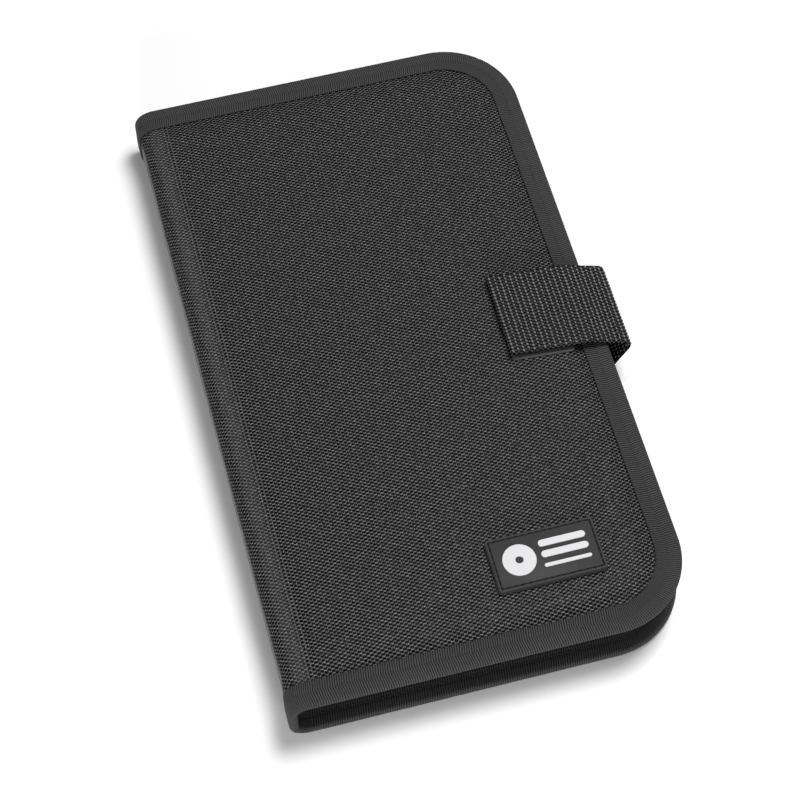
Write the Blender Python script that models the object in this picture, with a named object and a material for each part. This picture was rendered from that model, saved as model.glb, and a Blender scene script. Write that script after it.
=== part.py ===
"""Book-style storage case for discs, lying closed on its back cover.

The frame has +X from the spine to the fore-edge, +Y from the bottom edge to the top edge
and +Z through the thickness. The origin is the middle of the back cover's flat underside.
Lengths are in metres.

Each cover is a sandwich of skin, foam, board and lining, sewn together round the edge and
bound with a folded tape. A depth is measured inwards from the outer face of the case.
"""

import math

import bmesh
import bpy
from mathutils import Matrix, Vector

# Bound sleeves, with two pockets one above the other on each face
POCKET_SIZE = 0.126
POCKET_SEAM = 0.0035
SLEEVE_ROOM = 0.004
SPINE_ROOM = 0.0245
SLEEVE_PITCH = 0.0027
SLEEVE_BINDING = 0.004
FILM_THICKNESS = 0.0003
POCKET_GAP = 0.0004
SLEEVE_CORE = 0.0002
NOTCH_RADIUS = 0.009

# Sizes of the closed case
CASE_THICKNESS = 0.028
COVER_THICKNESS = 0.006
CORNER_RADIUS = 0.033
SPINE_RADIUS = 0.0085

# Layers of a cover and of the spine
SKIN_THICKNESS = 0.0008
LINING_THICKNESS = 0.0006
BOARD_THICKNESS = 0.0010
SPINE_BOARD_THICKNESS = 0.00175
CLEARANCE = 0.0003

# Padding: the shoulder beside the seam, and the valley beside the spine
SHOULDER_WIDTH = 0.010
SHOULDER_STEPS = (0.0, 0.1, 0.22, 0.36, 0.52, 0.72, 1.0)
FOAM_INSET = 0.0022
VALLEY_DEPTH = 0.0011
VALLEY_WIDTH = 0.009
VALLEY_PLACE = 0.0025
VALLEY_REST = 0.002
LINING_SLOPE = 0.004
LINING_STEPS = (0.0, 0.25, 0.5, 0.75, 1.0)

# Edge tape, folded over the sewn edge
TAPE_WIDTH = 0.0105
TAPE_THICKNESS = 0.0007
TAPE_ROLL = 0.0015
TAPE_CROWN = 0.0002
TAPE_LIP = 0.00025
TAPE_STEPS = 3
SEAM_INSET = 0.0010

# Closure strap of webbing, its fastener and its bend
STRAP_WIDTH = 0.0395
STRAP_THICKNESS = 0.0016
STRAP_FREE = 0.0143
STRAP_DRIFT = 0.0030
STRAP_CENTRE = -0.0014
STRAP_REACH = 0.0115
STRAP_DROOP = 0.0070
STRAP_FOLD_HEIGHT = 0.0236
STRAP_ROOT_HEIGHT = 0.0034
RIB_PITCH = 0.0022
RIB_HEIGHT = 0.00025
HEM_LENGTH = 0.004
HEM_RISE = 0.0004
LEAVE_RADIUS = 0.012
FOLD_RADIUS = 0.0042
ROOT_RADIUS = 0.0005
FILLET_STEPS = 8
NOSE_HEIGHT = 0.35
PATCH_LENGTH = 0.026
PATCH_LAP = 0.0006
PATCH_RADIUS = 0.0015
LOOP_PATCH_WIDTH = 0.0405
LOOP_PATCH_CENTRE = -0.0005
LOOP_THICKNESS = 0.0008
LOOP_BEVEL = 0.0003
HOOK_THICKNESS = 0.0006
HOOK_INSET = 0.0018

# Rubber badge on the front
BADGE_LENGTH = 0.0440
BADGE_WIDTH = 0.0232
BADGE_THICKNESS = 0.0022
BADGE_RADIUS = 0.0012
BADGE_BEVEL = 0.0003
BADGE_FROM_FORE_EDGE = 0.0533
BADGE_FROM_BOTTOM = 0.0372
BADGE_BORDER = 0.0013
BADGE_GROOVE_WIDTH = 0.0006
BADGE_GROOVE_DEPTH = 0.0004

# Fineness of the curves
CORNER_STEPS = 9
ROLL_STEPS = 5
LEAST_RADIUS = 0.002

# Places that follow from the sizes: the case is as large as its pockets and margins need
SLEEVE_HEIGHT = 2 * POCKET_SIZE + 3 * POCKET_SEAM
COVER_HEIGHT = SLEEVE_HEIGHT + 2 * (TAPE_WIDTH + SLEEVE_ROOM)
COVER_WIDTH = SPINE_ROOM + POCKET_SIZE + SLEEVE_ROOM + TAPE_WIDTH
FORE_EDGE = COVER_WIDTH / 2
SPINE_FACE = -COVER_WIDTH / 2
HALF_HEIGHT = COVER_HEIGHT / 2
ROLL_X = SPINE_FACE + SPINE_RADIUS
PANEL_X = ROLL_X + VALLEY_PLACE + VALLEY_WIDTH / 2 + VALLEY_REST
SEAM_DEPTH = COVER_THICKNESS / 2
SKIN_SEAM = SEAM_DEPTH - CLEARANCE / 2 - SKIN_THICKNESS
LINING_SEAM = SEAM_DEPTH + CLEARANCE / 2
LINING_PANEL = COVER_THICKNESS - LINING_THICKNESS
LINING_ROLL = SKIN_THICKNESS + SPINE_BOARD_THICKNESS + 2 * CLEARANCE
PAD_START = TAPE_WIDTH + CLEARANCE
STRAP_END = FORE_EDGE - STRAP_FREE - PATCH_LENGTH - PATCH_LAP
# A fold's axis lies on its mitre plane, as far from one outer face as from the other, so
# that the faces come level when the fold lies flat.
FOLD_SHARE = 0.215
FOLD_INSET = SPINE_RADIUS * FOLD_SHARE


def material(name, colour, roughness, metallic=0.0):
    """A Principled material."""
    made = bpy.data.materials.new(name)
    made.use_nodes = True
    shader = made.node_tree.nodes["Principled BSDF"]
    shader.inputs["Base Color"].default_value = (*colour, 1.0)
    shader.inputs["Roughness"].default_value = roughness
    shader.inputs["Metallic"].default_value = metallic
    made.diffuse_color = (*colour, 1.0)
    return made


def hinge(name, place, parent=None):
    """An empty on a joint's axis, which carries the pieces that turn there."""
    made = bpy.data.objects.new(name, None)
    bpy.context.collection.objects.link(made)
    made.empty_display_size = 0.02
    made["place"] = place
    if parent is not None:
        made.parent = parent
        place = Vector(place) - Vector(parent["place"])
    made.location = place
    return made


def finish(name, bm, finish_material, carrier, closed=True):
    """The object of a mesh that was built in place, carried by a hinge's empty or by nothing."""
    if closed:
        bmesh.ops.recalc_face_normals(bm, faces=bm.faces)
    mesh = bpy.data.meshes.new(name)
    bm.to_mesh(mesh)
    bm.free()
    mesh.materials.append(finish_material)
    made = bpy.data.objects.new(name, mesh)
    bpy.context.collection.objects.link(made)
    if carrier is not None:
        mesh.transform(Matrix.Translation(-Vector(carrier["place"])))
        made.parent = carrier
    mesh.shade_smooth()
    mesh.set_sharp_from_angle(angle=math.radians(35))
    return made


def thicken(sheet, thickness):
    """Gives a sheet its thickness, inwards from its outer face."""
    wall = sheet.modifiers.new("wall", "SOLIDIFY")
    wall.thickness = thickness
    wall.offset = -1
    wall.use_even_offset = True


def strip(bm, rows, around=False):
    """Faces between rows of vertices, each row joined to the next."""
    for near, far in zip(rows, rows[1:]):
        count = len(near)
        for i in range(count if around else count - 1):
            j = (i + 1) % count
            bm.faces.new((near[i], near[j], far[j], far[i]))


def rungs(bm, ring):
    """Fills a ring whose first half mirrors its second half, one face for each step."""
    last = len(ring) - 1
    for i in range(len(ring) // 2 - 1):
        bm.faces.new((ring[i], ring[last - i], ring[last - i - 1], ring[i + 1]))


def outline(offset, left):
    """A cover's edge moved in by offset: from the spine side along the top, round and back."""
    radius = max(CORNER_RADIUS - offset, LEAST_RADIUS)
    right = FORE_EDGE - offset - radius
    top = HALF_HEIGHT - offset - radius
    upper = [(left, top + radius)]
    for step in range(CORNER_STEPS + 1):
        angle = math.pi / 2 * (1 - step / CORNER_STEPS)
        upper.append((right + radius * math.cos(angle), top + radius * math.sin(angle)))
    return upper + [(x, -y) for x, y in reversed(upper)]


def rise(offset, start, width):
    """How far the padding has risen, from 0 at start to 1 after width."""
    t = min(max((offset - start) / width, 0.0), 1.0)
    return 1 - (1 - t) ** 3


def blend(t):
    """A smooth step from 0 to 1."""
    t = min(max(t, 0.0), 1.0)
    return t * t * (3 - 2 * t)


def valley(along):
    """Depth of the valley beside the spine, along being the way past the corner roll."""
    t = (along - VALLEY_PLACE) / (VALLEY_WIDTH / 2)
    return VALLEY_DEPTH * math.cos(math.pi / 2 * t) ** 2 if abs(t) < 1 else 0.0


def skin_depth(offset, along):
    """Depth of the skin's outer face."""
    pad = rise(offset, PAD_START, SHOULDER_WIDTH)
    return (1 - pad) * SKIN_SEAM + pad * valley(along)


def lining_depth(offset, along):
    """Depth of the lining's face towards the board."""
    drop = blend((offset - PAD_START) / LINING_SLOPE)
    panel = LINING_ROLL + (LINING_PANEL - LINING_ROLL) * blend(along / (PANEL_X - ROLL_X))
    return (1 - drop) * LINING_SEAM + drop * panel


def mitre_gap(deepest):
    """Angle that keeps a piece off the mitre plane, by half the clearance at its deepest."""
    return CLEARANCE / 2 / (SPINE_RADIUS - deepest)


def roll(height, start, end):
    """Places round a corner of the section: point, outward direction and arc length to go."""
    found = []
    for step in range(ROLL_STEPS + 1):
        angle = start + (end - start) * step / ROLL_STEPS
        out = Vector((math.cos(angle), 0, math.sin(angle)))
        centre = Vector((ROLL_X, 0, height))
        found.append((centre + out * SPINE_RADIUS, out, -SPINE_RADIUS * (angle - math.pi / 2)))
    return found


def front_section(deepest):
    """The front cover's outer line from the mitre to the panel."""
    start = math.radians(135) - mitre_gap(deepest)
    places = roll(CASE_THICKNESS - SPINE_RADIUS, start, math.pi / 2)
    span = PANEL_X - ROLL_X
    for share in (0.12, 0.25, 0.4, 0.55, 0.75):
        place = Vector((ROLL_X + share * span, 0, CASE_THICKNESS))
        places.append((place, Vector((0, 0, 1)), share * span))
    return places


def spine_section(deepest):
    """The spine's outer line from the lower mitre up to the upper one."""
    gap = mitre_gap(deepest)
    lower = roll(SPINE_RADIUS, math.radians(225) - gap, math.pi)
    upper = roll(CASE_THICKNESS - SPINE_RADIUS, math.pi, math.radians(135) + gap)
    return [(place, out, -SPINE_RADIUS) for place, out, _ in lower + upper]


def place_of(point, side):
    """The same point on the front cover (side 1) or mirrored to the back cover (side -1)."""
    x, y, z = point
    return (x, y, z) if side > 0 else (x, y, CASE_THICKNESS - z)


def cover_sheet(name, side, offsets, depth, thickness, finish_material, carrier):
    """A skin or a lining of one cover, from the mitre at the spine to the sewn edge."""
    bm = bmesh.new()
    panel = PANEL_X - ROLL_X
    rings = []
    for offset in offsets:
        level = CASE_THICKNESS - depth(offset, panel)
        ring = [place_of((x, y, level), side) for x, y in outline(offset, PANEL_X)]
        rings.append([bm.verts.new(point) for point in ring])
    strip(bm, rings[::-1])
    rungs(bm, rings[-1])
    rows = []
    deepest = max(depth(offset, -SPINE_RADIUS) for offset in offsets) + thickness
    for place, out, along in front_section(deepest):
        reach = [(HALF_HEIGHT - offset, depth(offset, along)) for offset in offsets]
        row = reach + [(-y, deep) for y, deep in reversed(reach)]
        points = [place - out * deep + Vector((0, y, 0)) for y, deep in row]
        rows.append([bm.verts.new(place_of(point, side)) for point in points])
    rows.append([ring[0] for ring in rings] + [ring[-1] for ring in reversed(rings)])
    strip(bm, rows)
    if side < 0:
        bmesh.ops.reverse_faces(bm, faces=bm.faces)
    thicken(finish(name, bm, finish_material, carrier, closed=False), thickness)


def spine_sheet(name, offsets, depth, thickness, finish_material, carrier):
    """A skin or a lining of the spine, from mitre to mitre."""
    bm = bmesh.new()
    rows = []
    deepest = max(depth(offset, -SPINE_RADIUS) for offset in offsets) + thickness
    for place, out, along in spine_section(deepest):
        reach = [(HALF_HEIGHT - offset, depth(offset, along)) for offset in offsets]
        row = reach + [(-y, deep) for y, deep in reversed(reach)]
        rows.append([bm.verts.new(place - out * deep + Vector((0, y, 0))) for y, deep in row])
    strip(bm, rows)
    thicken(finish(name, bm, finish_material, carrier, closed=False), thickness)


def filling(name, side, layers, left, finish_material, carrier):
    """A pad or a board inside a cover, given as layers of (offset, depth) from the inside out."""
    bm = bmesh.new()
    rings = []
    for offset, depth in layers:
        level = CASE_THICKNESS - depth
        ring = [place_of((x, y, level), side) for x, y in outline(offset, left)]
        rings.append([bm.verts.new(point) for point in ring])
    strip(bm, rings, around=True)
    rungs(bm, rings[0])
    rungs(bm, rings[-1])
    finish(name, bm, finish_material, carrier)


def foam_layers():
    """The foam fills the room between the board and the skin."""
    bottom = LINING_PANEL - BOARD_THICKNESS - 2 * CLEARANCE
    steps = [PAD_START + FOAM_INSET]
    steps += [PAD_START + SHOULDER_WIDTH * t for t in SHOULDER_STEPS]
    steps = sorted(step for step in steps if step >= PAD_START + FOAM_INSET)
    under_skin = SKIN_THICKNESS + CLEARANCE
    panel = PANEL_X - ROLL_X
    return [(steps[0], bottom)] + [(step, skin_depth(step, panel) + under_skin) for step in steps]


def board_layers():
    """The board lies on the lining's flat panel."""
    offset = PAD_START + LINING_SLOPE + CLEARANCE
    lower = LINING_PANEL - CLEARANCE
    return [(offset, lower), (offset, lower - BOARD_THICKNESS)]


def tape_section():
    """Section of the folded tape: way in from the edge, and depth."""
    outer_face = SKIN_SEAM - CLEARANCE - TAPE_THICKNESS
    inner_face = LINING_SEAM + LINING_THICKNESS + CLEARANCE + TAPE_THICKNESS
    roll_in = min(TAPE_ROLL, (inner_face - outer_face) / 2)
    middle = (roll_in + TAPE_WIDTH) / 2
    turns = [math.pi / 2 * step / TAPE_STEPS for step in range(TAPE_STEPS + 1)]
    rolled = [(roll_in * (1 - math.sin(turn)), roll_in * (1 - math.cos(turn))) for turn in turns]
    outside = [(TAPE_WIDTH, outer_face + TAPE_LIP), (TAPE_WIDTH - TAPE_LIP, outer_face)]
    outside.append((middle, outer_face - TAPE_CROWN))
    outside += [(reach, outer_face + deep) for reach, deep in rolled]
    outside += [(reach, inner_face - deep) for reach, deep in reversed(rolled)]
    outside.append((middle, inner_face + TAPE_CROWN))
    outside += [(TAPE_WIDTH - TAPE_LIP, inner_face), (TAPE_WIDTH, inner_face - TAPE_LIP)]
    nook = min(TAPE_THICKNESS, (inner_face - outer_face) / 2 - TAPE_THICKNESS)
    near = outer_face + TAPE_THICKNESS
    far = inner_face - TAPE_THICKNESS
    inside = [(TAPE_WIDTH, far), (TAPE_THICKNESS + nook, far), (TAPE_THICKNESS, far - nook * 0.6)]
    inside += [(TAPE_THICKNESS, near + nook * 0.6), (TAPE_THICKNESS + nook, near), (TAPE_WIDTH, near)]
    return outside + inside


def sweep(bm, section, stations, side=1):
    """Carries a section along stations of (edge point, direction in, direction outwards)."""
    rings = []
    for edge, inward, out in stations:
        points = [edge + inward * a - out * depth for a, depth in section]
        rings.append([bm.verts.new(place_of(point, side)) for point in points])
    strip(bm, rings, around=True)
    bm.faces.new(rings[0])
    bm.faces.new(rings[-1])


def cover_binding(name, side, finish_material, carrier):
    """Edge tape round three sides of a cover, turning with the corner roll at both ends."""
    section = tape_section()
    deepest = max(depth for _, depth in section)
    gap = mitre_gap(deepest)
    places = roll(CASE_THICKNESS - SPINE_RADIUS, math.radians(135) - gap, math.pi / 2)
    upper = [(place + Vector((0, HALF_HEIGHT, 0)), Vector((0, -1, 0)), out) for place, out, _ in places]
    lower = [(place + Vector((0, -HALF_HEIGHT, 0)), Vector((0, 1, 0)), out) for place, out, _ in places]
    edge = outline(0.0, ROLL_X)[1:-1]
    up = Vector((0, 0, 1))
    around = []
    for x, y in edge:
        corner = Vector((FORE_EDGE - CORNER_RADIUS, math.copysign(HALF_HEIGHT - CORNER_RADIUS, y)))
        inward = (corner - Vector((x, y))).normalized()
        around.append((Vector((x, y, CASE_THICKNESS)), Vector((*inward, 0)), up))
    bm = bmesh.new()
    sweep(bm, section, upper + around + lower[::-1], side)
    finish(name, bm, finish_material, carrier)


def spine_binding(name, end, finish_material, carrier):
    """Edge tape across one end of the spine (end 1 at the top, -1 at the bottom)."""
    section = tape_section()
    places = spine_section(max(depth for _, depth in section))
    inward = Vector((0, -end, 0))
    stations = [(place - inward * HALF_HEIGHT, inward, out) for place, out, _ in places]
    bm = bmesh.new()
    sweep(bm, section, stations)
    finish(name, bm, finish_material, carrier)


def spine_stiffener(carrier):
    """Board between the spine's skin and its lining."""
    left = SPINE_FACE + SKIN_THICKNESS + CLEARANCE
    end = HALF_HEIGHT - PAD_START - max(SHOULDER_WIDTH, LINING_SLOPE)
    low = SPINE_RADIUS
    bm = bmesh.new()
    corners = [(left, low), (left + SPINE_BOARD_THICKNESS, low)]
    corners += [(x, CASE_THICKNESS - z) for x, z in reversed(corners)]
    face = bm.faces.new([bm.verts.new((x, -end, z)) for x, z in corners])
    made = bmesh.ops.extrude_face_region(bm, geom=[face])["geom"]
    moved = [part for part in made if isinstance(part, bmesh.types.BMVert)]
    bmesh.ops.translate(bm, verts=moved, vec=(0, 2 * end, 0))
    finish("spine_board", bm, board, carrier)


def sleeve_levels():
    """Heights of the sleeves' lower faces: as many as fit at the least pitch, spread evenly."""
    thickness = 2 * (FILM_THICKNESS + POCKET_GAP) + SLEEVE_CORE
    low = COVER_THICKNESS + CLEARANCE
    room = CASE_THICKNESS - 2 * low - thickness
    steps = max(int(room / SLEEVE_PITCH), 1)
    return thickness, [low + room * step / steps for step in range(steps + 1)]


def block(bm, low, high):
    """A plain block between two corners."""
    made = bmesh.ops.create_cube(bm, size=1.0)["verts"]
    size = Vector(high) - Vector(low)
    middle = (Vector(high) + Vector(low)) / 2
    bmesh.ops.scale(bm, vec=size, verts=made)
    bmesh.ops.translate(bm, vec=middle, verts=made)


def cutter(name, bm):
    """A helper that is subtracted and never shown."""
    made = finish(name, bm, film, None)
    made.hide_render = True
    made.display_type = "WIRE"
    return made


def sleeve_pages():
    """The bound sleeves: leaves on one welded edge, each with two open pockets on both faces."""
    thickness, levels = sleeve_levels()
    room = SPINE_RADIUS - LINING_ROLL - LINING_THICKNESS - CLEARANCE
    back = max(room**2 - (SPINE_RADIUS - levels[0]) ** 2, 0.0)
    left = ROLL_X - math.sqrt(back)
    right = FORE_EDGE - TAPE_WIDTH - SLEEVE_ROOM
    stem = left + SLEEVE_BINDING
    comb = [(left, levels[-1] + thickness), (left, levels[0])]
    for level in levels:
        comb += [(stem, level)] if level > levels[0] else []
        comb += [(right, level), (right, level + thickness)]
        comb += [(stem, level + thickness)] if level < levels[-1] else []
    bm = bmesh.new()
    face = bm.faces.new([bm.verts.new((x, -SLEEVE_HEIGHT / 2, z)) for x, z in comb])
    made = bmesh.ops.extrude_face_region(bm, geom=[face])["geom"]
    moved = [part for part in made if isinstance(part, bmesh.types.BMVert)]
    bmesh.ops.translate(bm, verts=moved, vec=(0, SLEEVE_HEIGHT, 0))
    pages = finish("sleeve_pages", bm, film, None)

    slots = bmesh.new()
    notches = bmesh.new()
    for level in levels:
        lower_slot = level + FILM_THICKNESS
        upper_slot = lower_slot + POCKET_GAP + SLEEVE_CORE
        for y in (-POCKET_SEAM / 2 - POCKET_SIZE, POCKET_SEAM / 2):
            for slot, face_level in ((lower_slot, level), (upper_slot, level + thickness)):
                low = (right - POCKET_SIZE, y, slot)
                block(slots, low, (right + SEAM_INSET, y + POCKET_SIZE, slot + POCKET_GAP))
                ends = (slot + POCKET_GAP / 2, face_level + math.copysign(CLEARANCE, face_level - slot))
                place = Vector((right, y + POCKET_SIZE / 2, sum(ends) / 2))
                bmesh.ops.create_cone(
                    notches,
                    cap_ends=True,
                    segments=24,
                    radius1=NOTCH_RADIUS,
                    radius2=NOTCH_RADIUS,
                    depth=abs(ends[1] - ends[0]),
                    matrix=Matrix.Translation(place),
                )
    for name, made in (("pocket_slots", slots), ("thumb_notches", notches)):
        cut = pages.modifiers.new(name, "BOOLEAN")
        cut.operation = "DIFFERENCE"
        cut.solver = "EXACT"
        cut.object = cutter(name, made)


def filleted(corners, radii):
    """A line in the XZ plane with its inner corners rounded."""
    line = [corners[0]]
    for before, corner, after, radius in zip(corners, corners[1:], corners[2:], radii):
        to_before = (before - corner).normalized()
        to_after = (after - corner).normalized()
        half = to_before.angle(to_after) / 2
        reach = radius / math.tan(half)
        centre = corner + (to_before + to_after).normalized() * radius / math.sin(half)
        start = corner + to_before * reach - centre
        end = corner + to_after * reach - centre
        shares = [step / FILLET_STEPS for step in range(FILLET_STEPS + 1)]
        line += [centre + start.slerp(end, share) * radius for share in shares]
    return line + [corners[-1]]


def strap_level():
    """Height of the flap's middle over the front, above both halves of the fastener."""
    patches = LOOP_THICKNESS + HOOK_THICKNESS + 3 * CLEARANCE
    return CASE_THICKNESS + patches + STRAP_THICKNESS / 2


def strap_line():
    """The webbing's middle line, from its hemmed end over the fore-edge to its sewn root."""
    level = strap_level()
    root = FORE_EDGE + CLEARANCE
    return filleted(
        [
            Vector((STRAP_END, level)),
            Vector((FORE_EDGE - STRAP_DROOP, level)),
            Vector((FORE_EDGE + STRAP_REACH, STRAP_FOLD_HEIGHT)),
            Vector((root + STRAP_THICKNESS / 2, STRAP_ROOT_HEIGHT)),
            Vector((root, STRAP_ROOT_HEIGHT - STRAP_THICKNESS / 4)),
        ],
        (LEAVE_RADIUS, FOLD_RADIUS, ROOT_RADIUS),
    )


def travel(line):
    """Distance along a line at each of its points."""
    run = [0.0]
    for a, b in zip(line, line[1:]):
        run.append(run[-1] + (b - a).length)
    return run


def along_line(line, run, distance):
    """Point and direction at a distance along a line."""
    i = max(k for k in range(len(run) - 1) if run[k] <= distance or k == 0)
    a, b = line[i], line[i + 1]
    share = (distance - run[i]) / (run[i + 1] - run[i])
    return a.lerp(b, share), (b - a).normalized()


def strap_fold():
    """Middle of the bend: distance along the webbing, its point and its outward direction."""
    line = strap_line()
    run = travel(line)
    first_of_bend = 1 + FILLET_STEPS + 1
    middle = (run[first_of_bend] + run[first_of_bend + FILLET_STEPS]) / 2
    point, heading = along_line(line, run, middle)
    return middle, point, Vector((-heading.y, heading.x))


def strap_station(distance):
    """Middle point, outward direction and cross place of the webbing at a distance."""
    line = strap_line()
    run = travel(line)
    lead = RIB_PITCH / 4
    before, _ = along_line(line, run, max(distance - lead, 0.0))
    after, _ = along_line(line, run, min(distance + lead, run[-1]))
    point, _ = along_line(line, run, distance)
    heading = (after - before).normalized()
    drift = STRAP_DRIFT * max(1 - distance / (FORE_EDGE - STRAP_END), 0.0)
    return point, Vector((-heading.y, heading.x)), STRAP_CENTRE + drift


def webbing(name, start, end, carrier):
    """A length of ribbed webbing along the strap's line."""
    bm = bmesh.new()
    rings = []
    half = STRAP_WIDTH / 2
    edge = STRAP_THICKNESS / 2
    steps = max(round((end - start) / (RIB_PITCH / 4)), 4)
    for step in range(steps + 1):
        distance = start + (end - start) * step / steps
        point, out, centre = strap_station(distance)
        ridge = RIB_HEIGHT * abs(math.sin(math.pi * distance / RIB_PITCH))
        hem = HEM_RISE * (1 - blend(distance / HEM_LENGTH))
        nose = min(1.0, NOSE_HEIGHT + distance / STRAP_THICKNESS)
        top = (edge + hem - RIB_HEIGHT + ridge) * nose
        low = (edge - RIB_HEIGHT + ridge) * nose
        profile = [(-half, -low / 2), (-half, top / 2), (-half + edge, top), (half - edge, top)]
        profile += [(half, top / 2), (half, -low / 2), (half - edge, -low), (-half + edge, -low)]
        ring = []
        for across, height in profile:
            place = point + out * height
            ring.append(bm.verts.new((place.x, centre + across, place.y)))
        rings.append(ring)
    strip(bm, rings, around=True)
    bm.faces.new(rings[0])
    bm.faces.new(rings[-1])
    finish(name, bm, webbing_nylon, carrier)


def rounded_plate(name, middle, size, layers, radius, finish_material, carrier, drift=0.0):
    """A plate with round corners, given as layers of (inset, height); drift slants it."""
    bm = bmesh.new()
    rings = []
    for inset, height in layers:
        corner = max(radius - inset, LEAST_RADIUS / 10)
        half = Vector(size) / 2 - Vector((inset + corner, inset + corner))
        ring = []
        for quarter in range(4):
            sign = ((1, 1), (-1, 1), (-1, -1), (1, -1))[quarter]
            for step in range(5):
                angle = math.pi / 2 * (quarter + step / 4)
                x = sign[0] * half.x + corner * math.cos(angle)
                y = sign[1] * half.y + corner * math.sin(angle) - drift * x
                ring.append(bm.verts.new((middle[0] + x, middle[1] + y, height)))
        rings.append(ring)
    strip(bm, rings, around=True)
    bm.faces.new(rings[0])
    bm.faces.new(rings[-1])
    finish(name, bm, finish_material, carrier)


def fastener(front, flap):
    """Loop patch sewn on the front, and hook patch sewn under the flap."""
    slant = STRAP_DRIFT / (FORE_EDGE - STRAP_END)
    middle = STRAP_END + PATCH_LAP + PATCH_LENGTH / 2
    low = CASE_THICKNESS + CLEARANCE
    rounded_plate(
        "loop_patch",
        (middle, LOOP_PATCH_CENTRE),
        (PATCH_LENGTH, LOOP_PATCH_WIDTH),
        [(0.0, low), (0.0, low + LOOP_THICKNESS - LOOP_BEVEL), (LOOP_BEVEL, low + LOOP_THICKNESS)],
        PATCH_RADIUS,
        loop_pile,
        front,
    )
    low += LOOP_THICKNESS + CLEARANCE
    centre = STRAP_CENTRE + STRAP_DRIFT - slant * (middle - STRAP_END)
    rounded_plate(
        "hook_patch",
        (middle + HOOK_INSET, centre),
        (PATCH_LENGTH - HOOK_INSET, STRAP_WIDTH - 2 * HOOK_INSET),
        [(0.0, low), (0.0, low + HOOK_THICKNESS)],
        PATCH_RADIUS,
        hook_tape,
        flap,
        slant,
    )


def badge(carrier):
    """Moulded badge with a stitching groove round its edge."""
    low = CASE_THICKNESS + CLEARANCE
    top = low + BADGE_THICKNESS
    groove = top - BADGE_GROOVE_DEPTH
    inner = BADGE_BORDER + BADGE_GROOVE_WIDTH
    layers = [
        (0.0, low),
        (0.0, top - BADGE_BEVEL),
        (BADGE_BEVEL, top),
        (BADGE_BORDER - BADGE_GROOVE_WIDTH / 6, top),
        (BADGE_BORDER, groove),
        (inner, groove),
        (inner + BADGE_GROOVE_WIDTH / 6, top),
    ]
    middle = (FORE_EDGE - BADGE_FROM_FORE_EDGE, BADGE_FROM_BOTTOM - HALF_HEIGHT)
    size = (BADGE_LENGTH, BADGE_WIDTH)
    rounded_plate("badge", middle, size, layers, BADGE_RADIUS, rubber, carrier)


for old in list(bpy.data.objects):
    bpy.data.objects.remove(old, do_unlink=True)

woven_nylon = material("woven_nylon", (0.030, 0.031, 0.033), 0.62)
binding_tape = material("binding_tape", (0.026, 0.027, 0.029), 0.60)
webbing_nylon = material("webbing_nylon", (0.024, 0.025, 0.027), 0.60)
lining_cloth = material("lining_cloth", (0.020, 0.020, 0.022), 0.75)
foam = material("foam", (0.10, 0.10, 0.11), 0.90)
board = material("board", (0.36, 0.34, 0.30), 0.80)
film = material("sleeve_film", (0.055, 0.057, 0.062), 0.35)
rubber = material("rubber", (0.017, 0.017, 0.018), 0.50)
loop_pile = material("loop_pile", (0.022, 0.022, 0.024), 0.90)
hook_tape = material("hook_tape", (0.020, 0.020, 0.022), 0.55)

flap_start, fold_point, fold_out = strap_fold()
fold_axis = fold_point + fold_out * STRAP_THICKNESS / 2
spine_hinge = hinge("spine_hinge", (SPINE_FACE + FOLD_INSET, 0, FOLD_INSET))
cover_place = (SPINE_FACE + FOLD_INSET, 0, CASE_THICKNESS - FOLD_INSET)
cover_hinge = hinge("cover_hinge", cover_place, spine_hinge)
root_hinge = hinge("strap_root_hinge", (FORE_EDGE + CLEARANCE, 0, STRAP_ROOT_HEIGHT - STRAP_THICKNESS))
bend_hinge = hinge("strap_bend_hinge", (fold_axis.x, 0, fold_axis.y), root_hinge)

skin_offsets = [SEAM_INSET] + [PAD_START + SHOULDER_WIDTH * t for t in SHOULDER_STEPS]
lining_offsets = [SEAM_INSET] + [PAD_START + LINING_SLOPE * t for t in LINING_STEPS]
for side, word, carrier in ((-1, "back", None), (1, "front", cover_hinge)):
    skin = f"{word}_cover_shell"
    cover_sheet(skin, side, skin_offsets, skin_depth, SKIN_THICKNESS, woven_nylon, carrier)
    lining = f"{word}_lining"
    cover_sheet(lining, side, lining_offsets, lining_depth, LINING_THICKNESS, lining_cloth, carrier)
    filling(f"{word}_foam_pad", side, foam_layers(), PANEL_X, foam, carrier)
    filling(f"{word}_board", side, board_layers(), PANEL_X + CLEARANCE, board, carrier)
    cover_binding(f"{word}_binding", side, binding_tape, carrier)

spine_sheet("spine_shell", skin_offsets, skin_depth, SKIN_THICKNESS, woven_nylon, spine_hinge)
spine_sheet("spine_lining", lining_offsets, lining_depth, LINING_THICKNESS, lining_cloth, spine_hinge)
spine_stiffener(spine_hinge)
spine_binding("spine_binding_top", 1, binding_tape, spine_hinge)
spine_binding("spine_binding_bottom", -1, binding_tape, spine_hinge)

sleeve_pages()
strap_end = travel(strap_line())[-1]
webbing("strap_flap", 0.0, flap_start - CLEARANCE / 2, bend_hinge)
webbing("strap_riser", flap_start + CLEARANCE / 2, strap_end, root_hinge)
fastener(cover_hinge, bend_hinge)
badge(cover_hinge)
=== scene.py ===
# %% [markdown]
# # Disc storage case: the looks
#
# This lesson dresses a book-style case for discs. Its solid model is already made and packed:
# it knows where each piece is, how thick it is and how it moves. Here each soft piece gets its
# true surface, and every surface gets a material made of nodes. Lengths are in metres. +X runs
# from the spine to the fore-edge, +Y to the top edge and +Z through the thickness.

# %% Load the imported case
import math

import bmesh
import bpy
import numpy as np
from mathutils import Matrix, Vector, noise


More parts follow.
